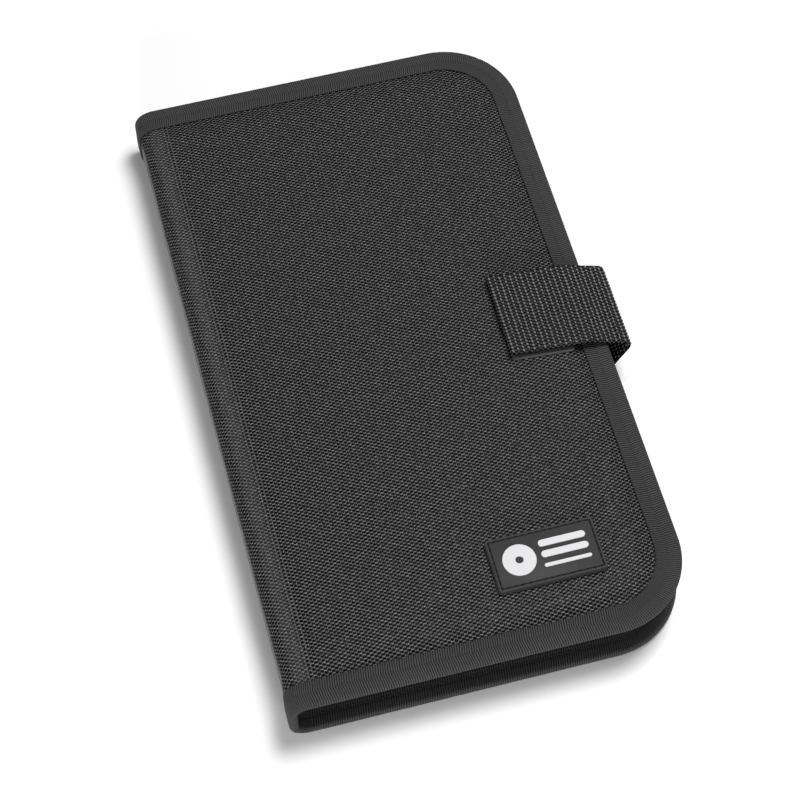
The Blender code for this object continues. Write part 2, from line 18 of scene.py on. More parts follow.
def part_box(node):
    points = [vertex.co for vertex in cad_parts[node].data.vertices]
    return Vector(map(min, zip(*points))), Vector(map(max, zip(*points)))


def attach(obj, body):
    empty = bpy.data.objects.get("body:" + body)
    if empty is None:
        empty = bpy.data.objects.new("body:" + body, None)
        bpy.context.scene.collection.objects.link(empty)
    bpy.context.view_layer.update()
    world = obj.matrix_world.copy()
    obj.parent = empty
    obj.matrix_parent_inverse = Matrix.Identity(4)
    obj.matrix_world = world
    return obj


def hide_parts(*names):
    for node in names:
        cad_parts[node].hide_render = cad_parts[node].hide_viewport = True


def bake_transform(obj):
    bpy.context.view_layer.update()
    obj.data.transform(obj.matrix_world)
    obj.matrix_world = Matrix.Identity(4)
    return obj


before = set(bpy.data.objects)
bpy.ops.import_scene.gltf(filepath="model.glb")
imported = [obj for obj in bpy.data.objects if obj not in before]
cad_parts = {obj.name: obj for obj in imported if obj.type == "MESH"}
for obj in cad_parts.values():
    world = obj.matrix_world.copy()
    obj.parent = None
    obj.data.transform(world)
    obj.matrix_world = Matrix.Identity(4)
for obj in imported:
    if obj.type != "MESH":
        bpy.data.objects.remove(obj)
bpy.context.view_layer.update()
print("nodes:", ", ".join(sorted(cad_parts)))

# %% [markdown]
# The soft pieces have to lie where the solid ones lie, so the main sizes are measured from the
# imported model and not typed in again. Only the sizes that no box can give, such as the radius
# of a rounded corner, are written here as named values.

# %% Measure the case
LOW, HIGH = 0, 1
SPINE_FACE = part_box("spine_shell")[LOW].x
FORE_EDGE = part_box("front_binding")[HIGH].x
HALF_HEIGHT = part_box("front_binding")[HIGH].y
CASE_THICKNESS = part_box("front_cover_shell")[HIGH].z
COVER_THICKNESS = 0.006
CORNER_RADIUS = 0.033
SPINE_RADIUS = 0.0085
SKIN = 0.0008
LINING = 0.0006
ROLL_X = SPINE_FACE + SPINE_RADIUS
ROLL_LENGTH = SPINE_RADIUS * math.pi / 2
MIDDLE_GIRTH = -(ROLL_LENGTH + CASE_THICKNESS / 2 - SPINE_RADIUS)
print("case", round(FORE_EDGE - SPINE_FACE, 4), "x", round(2 * HALF_HEIGHT, 4), "x", round(CASE_THICKNESS, 4))

# %% [markdown]
# ## The camera
#
# A picture can be matched only from the place it was taken from. A camera is a position, a
# direction and a lens, so it is built from an azimuth, an elevation, a distance and a focal
# length, with a small slide across the view to frame the case as in the picture.

# %% Place the camera
VIEW_AZIMUTH = math.radians(-14.892)
VIEW_ELEVATION = math.radians(59.669)
VIEW_DISTANCE = 0.992272
VIEW_SLIDE = (-0.000829, -0.008627)
FOCAL_PIXELS = 2350.13
PICTURE_PIXELS = 800
SENSOR_WIDTH = 36.0
CLIP_START = 0.01


def add_object(name, data):
    """An object in the scene, at the origin."""
    made = bpy.data.objects.new(name, data)
    bpy.context.collection.objects.link(made)
    return made


back = Vector((
    math.sin(VIEW_AZIMUTH) * math.cos(VIEW_ELEVATION),
    -math.cos(VIEW_AZIMUTH) * math.cos(VIEW_ELEVATION),
    math.sin(VIEW_ELEVATION),
))
right = Vector((math.cos(VIEW_AZIMUTH), math.sin(VIEW_AZIMUTH), 0))
up = back.cross(right)
camera = add_object("camera", bpy.data.cameras.new("camera"))
camera.data.sensor_width = SENSOR_WIDTH
camera.data.lens = FOCAL_PIXELS / PICTURE_PIXELS * SENSOR_WIDTH
camera.data.clip_start = CLIP_START
camera.location = back * VIEW_DISTANCE + right * VIEW_SLIDE[0] + up * VIEW_SLIDE[1]
camera.rotation_euler = back.to_track_quat("Z", "Y").to_euler()
bpy.context.scene.camera = camera
print("camera at", [round(value, 4) for value in camera.location])

# %% [markdown]
# ## The floor and the light
#
# The case lies on a plain white table under soft studio light. The main lamp hangs high, a
# little behind and to the right, so a short shadow falls left of the spine. Two weaker ones
# beside it brighten the fore-edge, one in front lights the bottom edge, and a low one at the
# left keeps the spine from going black. The world is dim where it lights the case and white
# where it is looked at, which a Light Path node can tell apart.

# %% Helpers for node trees
def shader_nodes(target):
    """The node tree of a material or a world, emptied."""
    target.use_nodes = True
    target.node_tree.nodes.clear()
    return target.node_tree


def node(tree, kind, at=(0, 0), inputs=None, **settings):
    """A node of one kind with its settings; each input is given a value or linked to a socket."""
    made = tree.nodes.new(kind)
    made.location = at
    for name, value in settings.items():
        setattr(made, name, value)
    for label, value in (inputs or {}).items():
        if isinstance(value, bpy.types.NodeSocket):
            tree.links.new(value, made.inputs[label])
        else:
            made.inputs[label].default_value = value
    return made


def sums(tree):
    """A short way to write arithmetic on sockets: calc("MULTIPLY", a, b) returns a socket."""
    def calc(operation, *values, clamp=False):
        given = dict(enumerate(values))
        return node(tree, "ShaderNodeMath", inputs=given, operation=operation, use_clamp=clamp).outputs[0]

    return calc


def looked_at(tree):
    """A factor that is 1 where a camera, glossy or transmission ray looks."""
    path = node(tree, "ShaderNodeLightPath", (-700, 200)).outputs
    calc = sums(tree)
    either = calc("MAXIMUM", path["Is Camera Ray"], path["Is Glossy Ray"])
    return calc("MAXIMUM", either, path["Is Transmission Ray"])


# %% Build the studio
WHITE = (1, 1, 1, 1)
WORLD_LEVEL = 0.08
FLOOR_COLOUR = 0.98
FLOOR_LIFT = 0.02
FLOOR_SIZE = 12.0
# Each lamp has a place, a point that it looks at, a size and a power in watts.
LAMPS = {
    "overhead": ((0.34, 0.16, 1.44), (0, 0, 0), 0.5, 9.5),
    "right_near": ((0.24, 0.10, 0.80), (0, 0, 0), 0.32, 3.0),
    "shoulder_sheen": ((0.60, 0.45, 1.05), (0, 0, 0), 0.4, 2.0),
    "front_fill": ((-0.15, -1.30, 0.34), (0, 0, 0), 0.6, 13.0),
    "left_low": ((-1.3, -0.20, 0.20), (0, 0, 0.02), 0.4, 6.0),
}


def choose_by_look(tree, lights, shows):
    """One shader where the surface only lights the case, and another where it is looked at."""
    return node(tree, "ShaderNodeMixShader", (300, 0), {0: looked_at(tree), 1: lights, 2: shows}).outputs[0]


world = bpy.data.worlds.new("studio")
bpy.context.scene.world = world
tree = shader_nodes(world)
dim = node(tree, "ShaderNodeBackground", (-100, 0), {"Color": WHITE, "Strength": WORLD_LEVEL}).outputs[0]
white = node(tree, "ShaderNodeBackground", (-100, -150), {"Color": WHITE, "Strength": 1.0}).outputs[0]
node(tree, "ShaderNodeOutputWorld", (500, 0), {"Surface": choose_by_look(tree, dim, white)})

floor_corners = [(x * FLOOR_SIZE / 2, y * FLOOR_SIZE / 2, 0) for x, y in ((-1, -1), (1, -1), (1, 1), (-1, 1))]
floor_mesh = bpy.data.meshes.new("floor")
floor_mesh.from_pydata(floor_corners, [], [(0, 1, 2, 3)])
floor = add_object("floor", floor_mesh)
table = bpy.data.materials.new("white_table")
tree = shader_nodes(table)
surface = node(tree, "ShaderNodeBsdfDiffuse", (-100, 100), {"Color": (*[FLOOR_COLOUR] * 3, 1)}).outputs[0]
lift = node(tree, "ShaderNodeEmission", (-100, -100), {"Strength": FLOOR_LIFT}).outputs[0]
both = node(tree, "ShaderNodeAddShader", (100, 0), {0: surface, 1: lift}).outputs[0]
node(tree, "ShaderNodeOutputMaterial", (500, 0), {"Surface": choose_by_look(tree, surface, both)})
floor_mesh.materials.append(table)

for name, (place, aim, size, watts) in LAMPS.items():
    lamp = add_object(name, bpy.data.lights.new(name, "AREA"))
    lamp.data.shape = "SQUARE"
    lamp.data.size = size
    lamp.data.energy = watts
    lamp.location = place
    lamp.rotation_euler = (Vector(place) - Vector(aim)).to_track_quat("Z", "Y").to_euler()
bpy.context.scene.view_settings.view_transform = "Standard"
print("studio:", len(LAMPS), "lamps, world", WORLD_LEVEL)

# %% [markdown]
# ## Shader groups
#
# Most of the case is cloth, and several cloths share an effect at different sizes. Each effect
# is built once as a node group, with named inputs for its sizes, and each material then uses
# it with its own values. The groups put out heights and masks only. The shader itself stays in
# each material.

# %% Helpers for shader groups
def group_ends(tree):
    """What comes into a group and what it gives, as sockets."""
    return node(tree, "NodeGroupInput", (-1200, 0)).outputs, node(tree, "NodeGroupOutput", (1200, 0)).inputs


def noise_of(tree, place, scale, detail=2.0, at=(-1000, -300)):
    """The outputs of a noise texture."""
    return node(tree, "ShaderNodeTexNoise", at, {"Vector": place, "Scale": scale, "Detail": detail}).outputs


def new_group(name, inputs, outputs):
    """A shader group with named number inputs and outputs, and the sockets of its two ends."""
    tree = bpy.data.node_groups.new(name, "ShaderNodeTree")
    tree.interface.new_socket("Vector", in_out="INPUT", socket_type="NodeSocketVector")
    for label, value in inputs.items():
        socket = tree.interface.new_socket(label, in_out="INPUT", socket_type="NodeSocketFloat")
        socket.default_value = value
    for label in outputs:
        tree.interface.new_socket(label, in_out="OUTPUT", socket_type="NodeSocketFloat")
    return tree, *group_ends(tree)


def ramp(tree, value, start, end, low=0.0, high=1.0, kind="SMOOTHSTEP"):
    """A socket that goes from low to high while another goes from start to end."""
    given = {"Value": value, "From Min": start, "From Max": end, "To Min": low, "To Max": high}
    return node(tree, "ShaderNodeMapRange", (300, 0), given, interpolation_type=kind).outputs["Result"]


# %% [markdown]
# The outer cloth is a plain weave of thick nylon: threads cross in staggered cells, like bricks.
# Each cell has an oval pit, where a thread dives under, and half a cell on a float, where one
# comes over the top. Both are ovals measured inside the cell. The materials paint the pits dark
# as painted shade, and the floats and the specks on them pale as painted highlights. Noise shifts
# the cells and swells the pits, because no real weave is perfectly even.

# %% The woven thread group
FLUTTER_SCALE = 520.0
STRAND_SCALE = 900.0
PIT_OVAL = {"offset": 0.0, "half_width": 0.42, "half_height": 0.80, "lean": -1.1}
FLOAT_OVAL = {"offset": 0.5, "half_width": 0.58, "half_height": 0.80, "lean": 0.55}
PIT_FADE = (1.15, 0.85)
CREST_FADE = (1.10, 0.70)
DOME_FADE = (1.25, 0.0)
GLINT_SPOT_FADE = (0.75, 0.15)
GLINT_FADE = (0.42, 0.58)
FLAT_SHARE = 0.35

tree, given, wanted = new_group(
    "woven_threads",
    {"Across": 0.00143, "Along": 0.00079, "Fray": 0.30, "Swell": 1.1},
    ("Height", "Pit", "Crest", "Speck"),
)
calc = sums(tree)
place = given["Vector"]
flutter = noise_of(tree, place, FLUTTER_SCALE, 1.0)
jitter = node(tree, "ShaderNodeSeparateColor", (-800, -300), {0: flutter["Color"]}).outputs
split = node(tree, "ShaderNodeSeparateXYZ", (-1000, 200), {0: place}).outputs


def half_steps(place, pitch, loose):
    """A place along one way of the cloth, in half cells, shifted by noise."""
    shift = calc("MULTIPLY", calc("SUBTRACT", loose, 0.5), given["Fray"])
    return calc("MULTIPLY", calc("ADD", calc("DIVIDE", place, pitch), shift), 0.5)


def oval(offset, half_width, half_height, lean):
    """How far a place is from the middle of its cell, 1 on the edge of an oval."""
    sides = [calc("SUBTRACT", calc("FRACT", calc("ADD", diagonal, offset)), 0.5) for diagonal in diagonals]
    x = calc("ADD", *sides)
    y = calc("SUBTRACT", calc("SUBTRACT", *sides), calc("MULTIPLY", x, lean))
    shares = (calc("DIVIDE", x, half_width), calc("DIVIDE", y, half_height))
    return calc("SQRT", calc("ADD", *(calc("POWER", share, 2.0) for share in shares)))


steps_x = half_steps(split["X"], given["Across"], jitter["Red"])
steps_y = half_steps(split["Y"], given["Along"], jitter["Green"])
diagonals = (calc("ADD", steps_x, steps_y), calc("SUBTRACT", steps_x, steps_y))
uneven = calc("MULTIPLY", calc("SUBTRACT", jitter["Blue"], 0.5), given["Swell"])
pit = ramp(tree, calc("ADD", oval(**PIT_OVAL), uneven), *PIT_FADE)
from_float = calc("ADD", oval(**FLOAT_OVAL), uneven)
dome = ramp(tree, from_float, *DOME_FADE)
glint = ramp(tree, noise_of(tree, place, STRAND_SCALE, at=(-1000, -600))["Fac"], *GLINT_FADE)
swell = calc("ADD", calc("MULTIPLY", dome, 1 - FLAT_SHARE), FLAT_SHARE)
tree.links.new(calc("MULTIPLY", calc("SUBTRACT", 1.0, pit), swell), wanted["Height"])
tree.links.new(pit, wanted["Pit"])
tree.links.new(ramp(tree, from_float, *CREST_FADE), wanted["Crest"])
# Painted highlights: pale specks on the floats, which the materials paint as glints.
tree.links.new(calc("MULTIPLY", ramp(tree, from_float, *GLINT_SPOT_FADE), glint), wanted["Speck"])
woven_threads = tree
print("group", tree.name, len(tree.nodes), "nodes")

# %% [markdown]
# The edge tape and the webbing are ribbed: fine cords run across their length. A sine wave
# along the length gives the ribs, and a faster one across gives the threads on each rib. The
# gaps between ribs come out as a mask, which the tape's material paints dark as painted shade.

# %% The ribbed cloth group
WAVER_SCALE = 260.0
WAVER_REACH = 0.9
RIB_ROUNDNESS = 0.8
THREAD_SHARE = 0.25
GAP_FADE = (0.80, 0.32)

tree, given, wanted = new_group(
    "ribbed_threads",
    {"Rib": 0.00095, "Thread": 0.0006, "Slant": 0.25, "Bend": 0.0, "Bend Place": 0.0047},
    ("Height", "Pit"),
)
calc = sums(tree)
place = given["Vector"]
split = node(tree, "ShaderNodeSeparateXYZ", (-1000, 200), {0: place}).outputs
waver = noise_of(tree, place, WAVER_SCALE)["Fac"]
sway = calc("MULTIPLY", calc("SUBTRACT", waver, 0.5), WAVER_REACH)
kink = calc("MULTIPLY", calc("ABSOLUTE", calc("SUBTRACT", split["X"], given["Bend Place"])), given["Bend"])
along = calc("DIVIDE", calc("ADD", split["Y"], kink), given["Rib"])
rib = calc("ABSOLUTE", calc("SINE", calc("MULTIPLY", calc("ADD", along, sway), math.pi)))
leaning = calc("ADD", split["X"], calc("MULTIPLY", split["Y"], given["Slant"]))
thread = calc("ABSOLUTE", calc("SINE", calc("MULTIPLY", calc("DIVIDE", leaning, given["Thread"]), math.pi)))
relief = calc("ADD", calc("MULTIPLY", thread, THREAD_SHARE), 1 - THREAD_SHARE)
height = calc("MULTIPLY", calc("POWER", rib, RIB_ROUNDNESS), relief)
tree.links.new(height, wanted["Height"])
tree.links.new(ramp(tree, height, *GAP_FADE), wanted["Pit"])
ribbed_threads = tree
print("group", tree.name, len(tree.nodes), "nodes")

# %% [markdown]
# Nothing that has been handled is one even tone. Slow noise makes some places a little lighter
# and others duller, and a few specks of dust settle anywhere. Both work on every material.

# %% The handling group
DUST_START = 0.66
DUST_GAIN = 6.0

tree, given, wanted = new_group("handling", {"Patch": 28.0, "Speck": 1300.0}, ("Tone", "Dust"))
calc = sums(tree)
slow = noise_of(tree, given["Vector"], given["Patch"], 3.0, at=(-1000, 200))["Fac"]
fine = noise_of(tree, given["Vector"], given["Speck"], 1.0)["Fac"]
tree.links.new(slow, wanted["Tone"])
dusty = calc("MULTIPLY", calc("SUBTRACT", fine, DUST_START), DUST_GAIN, clamp=True)
tree.links.new(dusty, wanted["Dust"])
handling = tree
print("group", tree.name, len(tree.nodes), "nodes")

# %% [markdown]
# ## Materials
#
# A cloth material reads a flat map, in metres, that was laid on the piece as the cloth would
# be cut, so its threads turn with the surface. A moulded or cut piece reads its own place
# instead. In both, a height goes to a Bump node and the pits between threads darken the
# colour as painted shade.

# %% Helpers for materials
CLOTH_MAP = "cloth"


def start_material(name, specular, cloth=True):
    """A material with its shader and the coordinates that its pattern reads."""
    made = bpy.data.materials.new(name)
    tree = shader_nodes(made)
    shader = node(tree, "ShaderNodeBsdfPrincipled", (600, 0), {"Specular IOR Level": specular})
    node(tree, "ShaderNodeOutputMaterial", (900, 0), {"Surface": shader.outputs[0]})
    if cloth:
        place = node(tree, "ShaderNodeUVMap", (-900, 0), uv_map=CLOTH_MAP).outputs["UV"]
    else:
        place = node(tree, "ShaderNodeTexCoord", (-900, 0)).outputs["Object"]
    return made, tree, shader, place


def place_group(tree, group, place, **values):
    """A group in a material, reading a place, with its own values."""
    return node(tree, "ShaderNodeGroup", (-600, 0), {"Vector": place, **values}, node_tree=group).outputs


def mix_colours(tree, factor, first, second):
    """A colour that goes from first to second; each is a socket or a colour."""
    colours = [(*value, 1) if isinstance(value, tuple) else value for value in (first, second)]
    given = {"Factor": factor, "A": colours[0], "B": colours[1]}
    return node(tree, "ShaderNodeMix", (200, 0), given, data_type="RGBA").outputs["Result"]


def surface_of(tree, shader, colour, tone, dull, height, depth):
    """Gives a shader its colour, a roughness that a slow tone varies, and its relief."""
    bump = node(tree, "ShaderNodeBump", (400, -300), {"Distance": depth, "Height": height})
    tree.links.new(colour, shader.inputs["Base Color"])
    tree.links.new(ramp(tree, tone, 0.0, 1.0, *dull, "LINEAR"), shader.inputs["Roughness"])
    tree.links.new(bump.outputs["Normal"], shader.inputs["Normal"])
    tree.links.new(bump.outputs["Normal"], shader.inputs["Coat Normal"])


# %% [markdown]
# The woven cloth of the case has painted light along its spine: paler stripes where the skin
# folds stand in for the light on the spine wall and for highlights on the rounded corner and
# its two creases. Each stripe lies at one girth, the way along the outer face that the grids
# below are measured by. The tape has a painted shadow: it is a little darker near its inner edge.

# %% The three kinds of material
FLOAT_ROUGHNESS = 0.36
# Painted shade: the colour of the pits between threads.
PIT_SHADE_COLOUR = (0.0004,) * 3
# Painted light: the paler colour of the stripes along the spine, and where each stripe lies.
PAINTED_LIGHT_COLOUR = (0.22,) * 3
PAINTED_LIGHT_BANDS = (
    {"middle": -0.0189, "reach": 0.0085, "strength": 0.85},
    {"middle": -0.0022, "reach": 0.0042, "strength": 0.10},
    {"middle": 0.0017, "reach": 0.0004, "strength": 0.20},
    {"middle": 0.0034, "reach": 0.0004, "strength": 0.16},
)
BAND_CORE = 0.3
DUST = (0.16,) * 3
PLAIN_DUST = (0.20,) * 3
CLOTH_DUST_SHARE = 0.25
TAPE_DUST_SHARE = 0.2
PLAIN_DUST_SHARE = 0.15
CLOTH_SPREAD = (-0.08, 0.08)
TAPE_SPREAD = (-0.06, 0.08)
PLAIN_SPREAD = (-0.07, 0.07)
TAPE_LIGHTER = 1.4
PLAIN_PATCH = 40.0
# Painted shadow: how far in from the tape's inner edge it darkens, and how much.
INNER_SHADOW_FADE = (0.0065, 0.0035)
INNER_SHADOW_SHARE = 0.12
GRAIN_SHARE = 0.4


def paint_light_bands(tree, calc, place, colour):
    """A colour with painted light: paler stripes along the spine for the light on its wall and the highlights
    on its corner and creases.
    """
    across = node(tree, "ShaderNodeSeparateXYZ", (-600, 400), {0: place}).outputs["X"]
    girth = calc("ADD", calc("ABSOLUTE", calc("SUBTRACT", across, MIDDLE_GIRTH)), MIDDLE_GIRTH)
    for band in PAINTED_LIGHT_BANDS:
        away = calc("ABSOLUTE", calc("SUBTRACT", girth, band["middle"]))
        mask = ramp(tree, away, band["reach"], band["reach"] * BAND_CORE)
        colour = mix_colours(tree, calc("MULTIPLY", mask, band["strength"]), colour, PAINTED_LIGHT_COLOUR)
    return colour


def woven_material(name, thread, float_tone, glint_tone, gloss, roughness, depth, painted_light=False, **sizes):
    """A plain-woven cloth whose floats shine more than the rest; its colour has painted highlights on the
    floats and specks and painted shade in the pits.
    """
    made, tree, shader, place = start_material(name, specular=0.0)
    weave = place_group(tree, woven_threads, place, **sizes)
    touch = place_group(tree, handling, place)
    calc = sums(tree)
    # Painted light: floats painted paler and specks paler still as painted highlights, pits painted dark as
    # painted shade.
    colour = mix_colours(tree, weave["Crest"], (thread,) * 3, (float_tone,) * 3)
    colour = mix_colours(tree, weave["Speck"], colour, (glint_tone,) * 3)
    colour = mix_colours(tree, weave["Pit"], colour, PIT_SHADE_COLOUR)
    # Painted light along the spine, for the nylon.
    if painted_light:
        colour = paint_light_bands(tree, calc, place, colour)
    colour = mix_colours(tree, calc("MULTIPLY", touch["Dust"], CLOTH_DUST_SHARE), colour, DUST)
    shader.inputs["Coat Roughness"].default_value = FLOAT_ROUGHNESS
    tree.links.new(calc("MULTIPLY", weave["Crest"], gloss), shader.inputs["Coat Weight"])
    dull = tuple(roughness + spread for spread in CLOTH_SPREAD)
    surface_of(tree, shader, colour, touch["Tone"], dull, weave["Height"], depth)
    return made


def ribbed_material(name, thread, pit, roughness, specular, depth, **sizes):
    """A ribbed tape, with painted shade in the gaps between its ribs and a painted shadow that darkens it
    near its inner edge.
    """
    made, tree, shader, place = start_material(name, specular)
    ribs = place_group(tree, ribbed_threads, place, **sizes)
    touch = place_group(tree, handling, place)
    calc = sums(tree)
    colour = mix_colours(tree, touch["Tone"], thread, tuple(channel * TAPE_LIGHTER for channel in thread))
    across = node(tree, "ShaderNodeSeparateXYZ", (-600, 200), {0: place}).outputs["X"]
    # Painted shadow: the tape darkens towards its inner edge, beside the panel.
    inner_shadow = ramp(tree, across, *INNER_SHADOW_FADE, 0.0, INNER_SHADOW_SHARE, "LINEAR")
    colour = mix_colours(tree, inner_shadow, colour, pit)
    # Painted shade in the gaps between the ribs.
    colour = mix_colours(tree, ribs["Pit"], colour, pit)
    colour = mix_colours(tree, calc("MULTIPLY", touch["Dust"], TAPE_DUST_SHARE), colour, DUST)
    dull = tuple(roughness + spread for spread in TAPE_SPREAD)
    surface_of(tree, shader, colour, touch["Tone"], dull, ribs["Height"], depth)
    return made


def plain_material(name, colour, shade, roughness, specular, grain, depth):
    """A moulded, cut or foamed material, with fine grain and an uneven tone."""
    made, tree, shader, place = start_material(name, specular, cloth=False)
    touch = place_group(tree, handling, place, Patch=PLAIN_PATCH)
    calc = sums(tree)
    texture = noise_of(tree, place, grain, 3.0)["Fac"]
    fine = calc("MULTIPLY", texture, GRAIN_SHARE)
    tone = calc("ADD", calc("MULTIPLY", touch["Tone"], 1 - GRAIN_SHARE), fine)
    mixed = mix_colours(tree, tone, colour, shade)
    mixed = mix_colours(tree, calc("MULTIPLY", touch["Dust"], PLAIN_DUST_SHARE), mixed, PLAIN_DUST)
    dull = tuple(roughness + spread for spread in PLAIN_SPREAD)
    surface_of(tree, shader, mixed, touch["Tone"], dull, texture, depth)
    return made


# %% [markdown]
# The values of a material are its greys from dark to pale, then how rough and how shiny it is,
# the fineness of its grain where it has no weave, and last the depth of its relief in metres.

# %% Make the materials
nylon = woven_material("woven_nylon", 0.018, 0.084, 0.280, 0.20, 0.62, 0.00030, painted_light=True)
lining_cloth = woven_material(
    "lining_cloth", 0.020, 0.040, 0.060, 0.2, 0.75, 0.0001, Across=0.0006, Along=0.0006
)
tape_cloth = ribbed_material("binding_tape", (0.047,) * 3, (0.010,) * 3, 0.62, 0.07, 0.00020, Bend=0.14)
web_cloth = woven_material(
    "webbing_ground", 0.026, 0.046, 0.080, 0.1, 0.62, 0.0003, Across=0.000825, Along=0.0011, Fray=0.15
)
web_float = plain_material("webbing_float", (0.060,) * 3, (0.260,) * 3, 0.50, 0.20, 2600.0, 0.00008)
thread_black = plain_material("sewing_thread", (0.020,) * 3, (0.045,) * 3, 0.60, 0.1, 3000.0, 0.00005)
foam_grey = plain_material("foam", (0.10, 0.10, 0.11), (0.15, 0.15, 0.16), 0.92, 0.1, 1400.0, 0.0004)
board_grey = plain_material("board", (0.36, 0.34, 0.30), (0.28, 0.26, 0.23), 0.82, 0.2, 700.0, 0.00008)
film = plain_material("sleeve_film", (0.055, 0.057, 0.062), (0.085, 0.088, 0.094), 0.34, 0.5, 500.0, 0.00003)
rubber = plain_material(
    "badge_rubber", (0.025, 0.025, 0.026), (0.033, 0.033, 0.034), 0.55, 0.15, 2200.0, 0.00003
)
# Painted shade: a near-black copy of the badge rubber for the floor of its groove.
groove_shade = plain_material("badge_groove", (0.004,) * 3, (0.008,) * 3, 0.80, 0.05, 2200.0, 0.00003)
motif = plain_material("badge_motif", (0.58, 0.58, 0.59), (0.66, 0.66, 0.67), 0.50, 0.3, 2200.0, 0.00003)
pile = plain_material("loop_pile", (0.040, 0.040, 0.043), (0.080, 0.080, 0.084), 0.85, 0.1, 3000.0, 0.0001)
patch_cloth = plain_material("loop_tape", (0.045,) * 3, (0.065,) * 3, 0.60, 0.2, 2600.0, 0.00006)
hook_plastic = plain_material(
    "hook_tape", (0.026, 0.026, 0.028), (0.050, 0.050, 0.053), 0.50, 0.3, 2500.0, 0.00003
)
print(len(bpy.data.materials), "materials")

# %% [markdown]
# ## Sheets of cloth
#
# A cloth piece is a grid of points that follows a line round the case. The line is measured by
# its girth: the way along the outer face, 0 where the rounded spine corner ends, growing
# towards the fore-edge and negative round the corner and down the spine. The back cover is the
# front one mirrored. Each grid also carries its flat map.

# %% Helpers for grids
def side_place(points, side):
    """Points as they are for the front (1), or mirrored through the thickness for the back (-1)."""
    placed = np.array(points, float)
    if side < 0:
        placed[..., 2] = CASE_THICKNESS - placed[..., 2]
    return placed


def mesh_piece(name, points, faces, material, flat_map=None):
    """An object from points and faces, with its flat map, smooth, at the origin."""
    mesh = bpy.data.meshes.new(name)
    mesh.from_pydata([tuple(point) for point in points], [], faces)
    mesh.materials.append(material)
    if flat_map is not None:
        layer = mesh.uv_layers.new(name=CLOTH_MAP)
        corners = np.zeros(len(mesh.loops), np.int32)
        mesh.loops.foreach_get("vertex_index", corners)
        layer.data.foreach_set("uv", np.asarray(flat_map, np.float32)[corners].ravel())
    mesh.shade_smooth()
    return add_object(name, mesh)


def grid_faces(rows, columns, flip=False, around=False):
    """Four-cornered faces of a grid of points stored row by row."""
    faces = []
    for i in range(rows - 1):
        for j in range(columns if around else columns - 1):
            k = (j + 1) % columns
            face = (i * columns + j, i * columns + k, (i + 1) * columns + k, (i + 1) * columns + j)
            faces.append(face[::-1] if flip else face)
    return faces


def tube_faces(rows, count, flip=False):
    """Faces of a closed tube through rings of points, with a cap at each end."""
    last = (rows - 1) * count
    caps = [tuple(range(count))[::-1], tuple(range(last, last + count))]
    return grid_faces(rows, count, flip=flip, around=True) + [cap[::-1] if flip else cap for cap in caps]


def turn_outwards(obj):
    """Makes the faces of a closed mesh look outwards."""
    bm = bmesh.new()
    bm.from_mesh(obj.data)
    bmesh.ops.recalc_face_normals(bm, faces=bm.faces)
    bm.to_mesh(obj.data)
    bm.free()
    return obj


def made_mesh(obj, keep_layers=False):
    """The mesh that an object's modifiers or curve give."""
    graph = bpy.context.evaluated_depsgraph_get()
    ready = obj.evaluated_get(graph)
    return bpy.data.meshes.new_from_object(ready, preserve_all_data_layers=keep_layers, depsgraph=graph)


def settle(obj):
    """Turns the object's modifiers into plain mesh."""
    mesh = made_mesh(obj, keep_layers=True)
    obj.modifiers.clear()
    obj.data = mesh
    mesh.name = obj.name
    return obj


def thicken(obj, thickness):
    """Gives a sheet its thickness, inwards from its outer face."""
    wall = obj.modifiers.new("wall", "SOLIDIFY")
    wall.thickness = thickness
    wall.offset = -1
    wall.use_even_offset = True
    return settle(obj)


def girth_line(girths):
    """Points and outward directions in the XZ plane at each girth, on the front's outer face."""
    girths = np.asarray(girths, float)
    turn = np.clip(-girths / SPINE_RADIUS, 0, math.pi / 2)
    out = np.stack([-np.sin(turn), np.cos(turn)], -1)
    x = ROLL_X + SPINE_RADIUS * out[..., 0] + np.maximum(girths, 0)
    down = np.maximum(-girths - ROLL_LENGTH, 0)
    z = CASE_THICKNESS - SPINE_RADIUS + SPINE_RADIUS * out[..., 1] - down
    return x, z, out


def smooth(t):
    """A smooth step from 0 to 1."""
    t = np.clip(t, 0, 1)
    return t * t * (3 - 2 * t)


def lengths_along(line):
    """How far each point of a line lies along it."""
    return np.concatenate([[0], np.cumsum(np.linalg.norm(np.diff(line, axis=0), axis=1))])


def edge_offset(x, y, girth):
    """How far a point lies in from the cover's edge, which has round corners at the fore-edge."""
    in_x = FORE_EDGE - x
    in_y = HALF_HEIGHT - np.abs(y)
    from_x = CORNER_RADIUS - in_x
    from_y = CORNER_RADIUS - in_y
    cornered = CORNER_RADIUS - np.hypot(np.maximum(from_x, 0), np.maximum(from_y, 0))
    straight = np.minimum(in_x, in_y)
    flat = np.where((from_x > 0) & (from_y > 0), cornered, straight)
    return np.where(girth > 0, flat, in_y)


# %% [markdown]
# ## The outer skins
#
# The nylon is stretched over foam, so it falls away to the sewn edge in a round shoulder, dips
# in a shallow valley beside the spine and puckers where the seam gathers it. A formula gives
# the depth of the cloth at each point, and slow noise adds the puckers.

